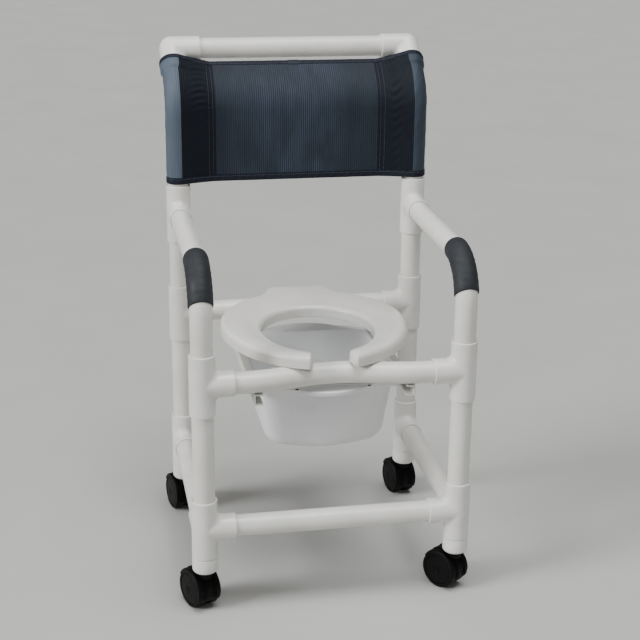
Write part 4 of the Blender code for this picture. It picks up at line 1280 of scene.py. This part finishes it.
def build_sheet(rings):
    """One open skin; its sleeves, the doubled cloth beside the seams and the panel differ. The left
    sleeve's cloth has painted light and the right sleeve's cloth painted shade.
    """
    shape = new_shape()
    skin(shape, rings, open_ring=True)
    columns = len(rings[0]) - 1
    on_post = SLEEVE_FLAT + SLEEVE_ROUND
    for number, face in enumerate(shape.faces):
        column = number % columns
        # the left sleeve gets the copy with painted light, the right sleeve the copy with painted
        # shade
        if column < on_post:
            face.material_index = 2
        elif column >= columns - on_post:
            face.material_index = 3
        elif column < SLEEVE_COUNT or column >= columns - SLEEVE_COUNT:
            face.material_index = 1
    mesh = bpy.data.meshes.new("backrest_mesh_sheet")
    bmesh.ops.recalc_face_normals(shape, faces=shape.faces)
    shape.to_mesh(mesh)
    shape.free()
    for part in (MESH, MESH_DOUBLE, SLEEVE_MESH_PAINTED_LIGHT, SLEEVE_MESH_PAINTED_SHADE):
        mesh.materials.append(part)
    made = register("backrest_mesh_sheet", mesh, "backrest", sharp=70)
    thick = made.modifiers.new("cloth thickness", "SOLIDIFY")
    thick.thickness, thick.offset = CLOTH, 0.0


def unit_rows(vectors):
    return vectors / np.linalg.norm(vectors, axis=1)[:, None]


def add_binding(name, lines, width):
    """Tape folded over the first of the lines, which lead away from the sheet's edge."""
    steps = np.concatenate([[0], np.cumsum([np.linalg.norm(b - a, axis=1).mean()
                                            for a, b in zip(lines, lines[1:])])])

    def row_at(d):
        k = min(int(np.searchsorted(steps, d, side="right")) - 1, len(lines) - 2)
        f = (d - steps[k]) / (steps[k + 1] - steps[k])
        return lines[k] + (lines[k + 1] - lines[k]) * f

    edge, down = lines[0], lines[1] - lines[0]
    normal = unit_rows(np.cross(np.gradient(edge, axis=0), down))
    beyond = -unit_rows(down)

    def face(sign, distances):
        return [row_at(d) + sign * normal * (HEM_OUT + 0.00025 * math.sin(math.pi * (1 - d / width)))
                for d in distances]

    distances = [width, width * 0.75, width * 0.5, width * 0.25, 0.0008]
    section = face(1, distances)
    for q in (30, 60, 90, 120, 150):
        a = math.radians(q)
        section.append(edge + normal * HEM_OUT * math.cos(a) + beyond * 0.0009 * math.sin(a))
    section += face(-1, distances[::-1])
    section += [row_at(width - 0.0003) + sign * normal * (CLOTH / 2 + 0.0001) for sign in (-1, 1)]
    stack = np.stack(section, axis=1)
    shape = new_shape()
    skin(shape, [list(points) for points in stack], ends=True)
    finish(f"backrest_{name}_binding", shape, None, BINDING, sharp=60)
    if name == "upper":
        add_overlap(stack)
    stitch_row(f"backrest_{name}_stitches", row_at(width * 0.72), normal, HEM_OUT + 0.0003)


def make_back_trim(total, rings):
    """Binding folded over the upper and lower edges, the two seams and their stitches."""
    for name, rows, width in (("upper", rings[::-1], HEM_TOP), ("lower", rings, HEM_LOW)):
        count = max(2, round(width / (total / SHEET_ROWS)))
        add_binding(name, [np.array([list(p) for p in row]) for row in rows[:count + 2]], width)
    for side, word in SIDE_WORDS:
        seam = SLEEVE_COUNT - 1 if side < 0 else len(rings[0]) - SLEEVE_COUNT
        for extra, label in ((0, "inner"), (2, "outer")):
            column = seam + side * extra
            line = np.array([list(row[column]) for row in rings])
            beside = np.array([list(row[column + 1]) for row in rings]) - line
            normal = unit_rows(np.cross(beside, np.gradient(line, axis=0)))
            stitch_row(f"backrest_seam_{word}_{label}_stitches", line[3:-3], normal[3:-3],
                       CLOTH / 2 + 0.0002, both=False)


def add_overlap(stack):
    """The binding's end, lapped over its start at the middle of the upper edge."""
    middle = len(stack) // 2
    rings = []
    for section in stack[middle - 2:middle + 3]:
        hub = section.mean(axis=0)
        away = section - hub
        length = np.linalg.norm(away, axis=1)[:, None]
        rings.append(hub + away * (1 + 0.0009 / np.maximum(length, 1e-6)))
    shape = new_shape()
    skin(shape, rings, ends=True)
    finish("backrest_upper_binding_lap", shape, None, MESH, sharp=60)


def stitch_row(name, line, normal, lift, both=True):
    """Thread lying along a line on the cloth, one short bead for each stitch."""
    lengths = np.concatenate([[0], np.cumsum(np.linalg.norm(np.diff(line, axis=0), axis=1))])
    where = (np.arange(int(lengths[-1] / STITCH)) + 0.5) * STITCH
    places = []
    centre = np.stack([np.interp(where, lengths, line[:, k]) for k in range(3)], axis=1)
    ahead = np.stack([np.interp(where + 5e-4, lengths, line[:, k]) for k in range(3)], axis=1)
    up = np.stack([np.interp(where, lengths, normal[:, k]) for k in range(3)], axis=1)
    for p, a, n in zip(centre, ahead, up):
        way = (a - p) / max(np.linalg.norm(a - p), 1e-9)
        for sign in (1, -1) if both else (1,):
            places.append((tuple(p + n * lift * sign), tuple(n * sign), tuple(way)))
    sizes = {"Length": STITCH * 0.78, "Width": 0.0008, "Height": 0.0006}
    tree = stud_tree(name + "_tree", "bead", THREAD, sizes)
    grown(name, tree, points_mesh(name + "_points", places), sizes, None,
                      "frame")


# ---------------------------------------------------------------- floor, light and camera

def make_stage():
    scene = bpy.context.scene
    bpy.ops.mesh.primitive_plane_add(size=80, location=(0, 2.0, 0))
    floor = bpy.context.object
    floor.name = "studio_floor"
    material, tree, shader = start("matt_studio_floor", 0.85)
    spot = add(tree, "ShaderNodeTexCoord").outputs["Object"]
    tone = noise(tree, spot, 400, 3, name="slow change of tone")
    colour_and_gloss(tree, shader, blend(tree, spread(tree, tone, 0.0, 1.0), "#BCBCBA", "#B7B7B5"),
                     spread(tree, tone, 0.82, 0.9))
    floor.data.materials.append(material)

    world = bpy.data.worlds.new("studio")
    world.use_nodes = True
    world.node_tree.nodes["Background"].inputs[0].default_value = linear("#DBDAD6")
    world.node_tree.nodes["Background"].inputs[1].default_value = 0.24
    scene.world = world

    def lamp(name, kind, place, target, strength, **settings):
        data = bpy.data.lights.new(name, kind)
        data.energy = strength
        for key, value in settings.items():
            setattr(data, key, value)
        made = bpy.data.objects.new(name, data)
        scene.collection.objects.link(made)
        made.location = place
        made.rotation_euler = (Vector(target) - Vector(place)).to_track_quat("-Z", "Y").to_euler()

    # broad distant lights, so that the floor stays evenly pale out to the horizon
    lamp("key_light", "SUN", (-3.6, -1.0, 2.3), (0, 0, 0.5), 2.9, angle=math.radians(22))
    lamp("top_light", "SUN", (0.3, -0.5, 3.1), (0, 0, 0.4), 2.15, angle=math.radians(35))
    lamp("front_light", "AREA", (-0.6, -3.4, 2.0), (0, 0, 0.45), 7, size=1.2)
    lamp("seat_light", "AREA", (-0.15, -0.45, 1.75), (0, -0.08, 0.35), 4.5, size=0.35)

    # the camera stands in front of the chair, a little left of it, and looks down at it
    yaw, pitch, roll = (math.radians(d) for d in (10.884, 19.148, 0.709))
    look = Vector((math.sin(yaw) * math.cos(pitch), math.cos(yaw) * math.cos(pitch),
                   -math.sin(pitch)))
    right = Vector((math.cos(yaw), -math.sin(yaw), 0))
    up = right.cross(look)
    right, up = (right * math.cos(roll) + up * math.sin(roll),
                 up * math.cos(roll) - right * math.sin(roll))
    data = bpy.data.cameras.new("front_camera")
    data.lens, data.sensor_width = 77.905, 36.0
    camera = bpy.data.objects.new("front_camera", data)
    scene.collection.objects.link(camera)
    turn = Matrix((right, up, -look)).transposed().to_4x4()
    turn.translation = Vector((-0.4776, -2.6266, 1.4220))
    camera.matrix_world = turn
    scene.camera = camera


make_stage()
make_frame()
for place_word, place_side, place_row in (("front_left", -1, 0), ("front_right", 1, 0),
                                          ("rear_left", -1, 1), ("rear_right", 1, 1)):
    make_caster(place_word, place_side, place_row)
make_seat()
make_seat_clips()
make_pail()
make_runners()
make_strap()
make_back()
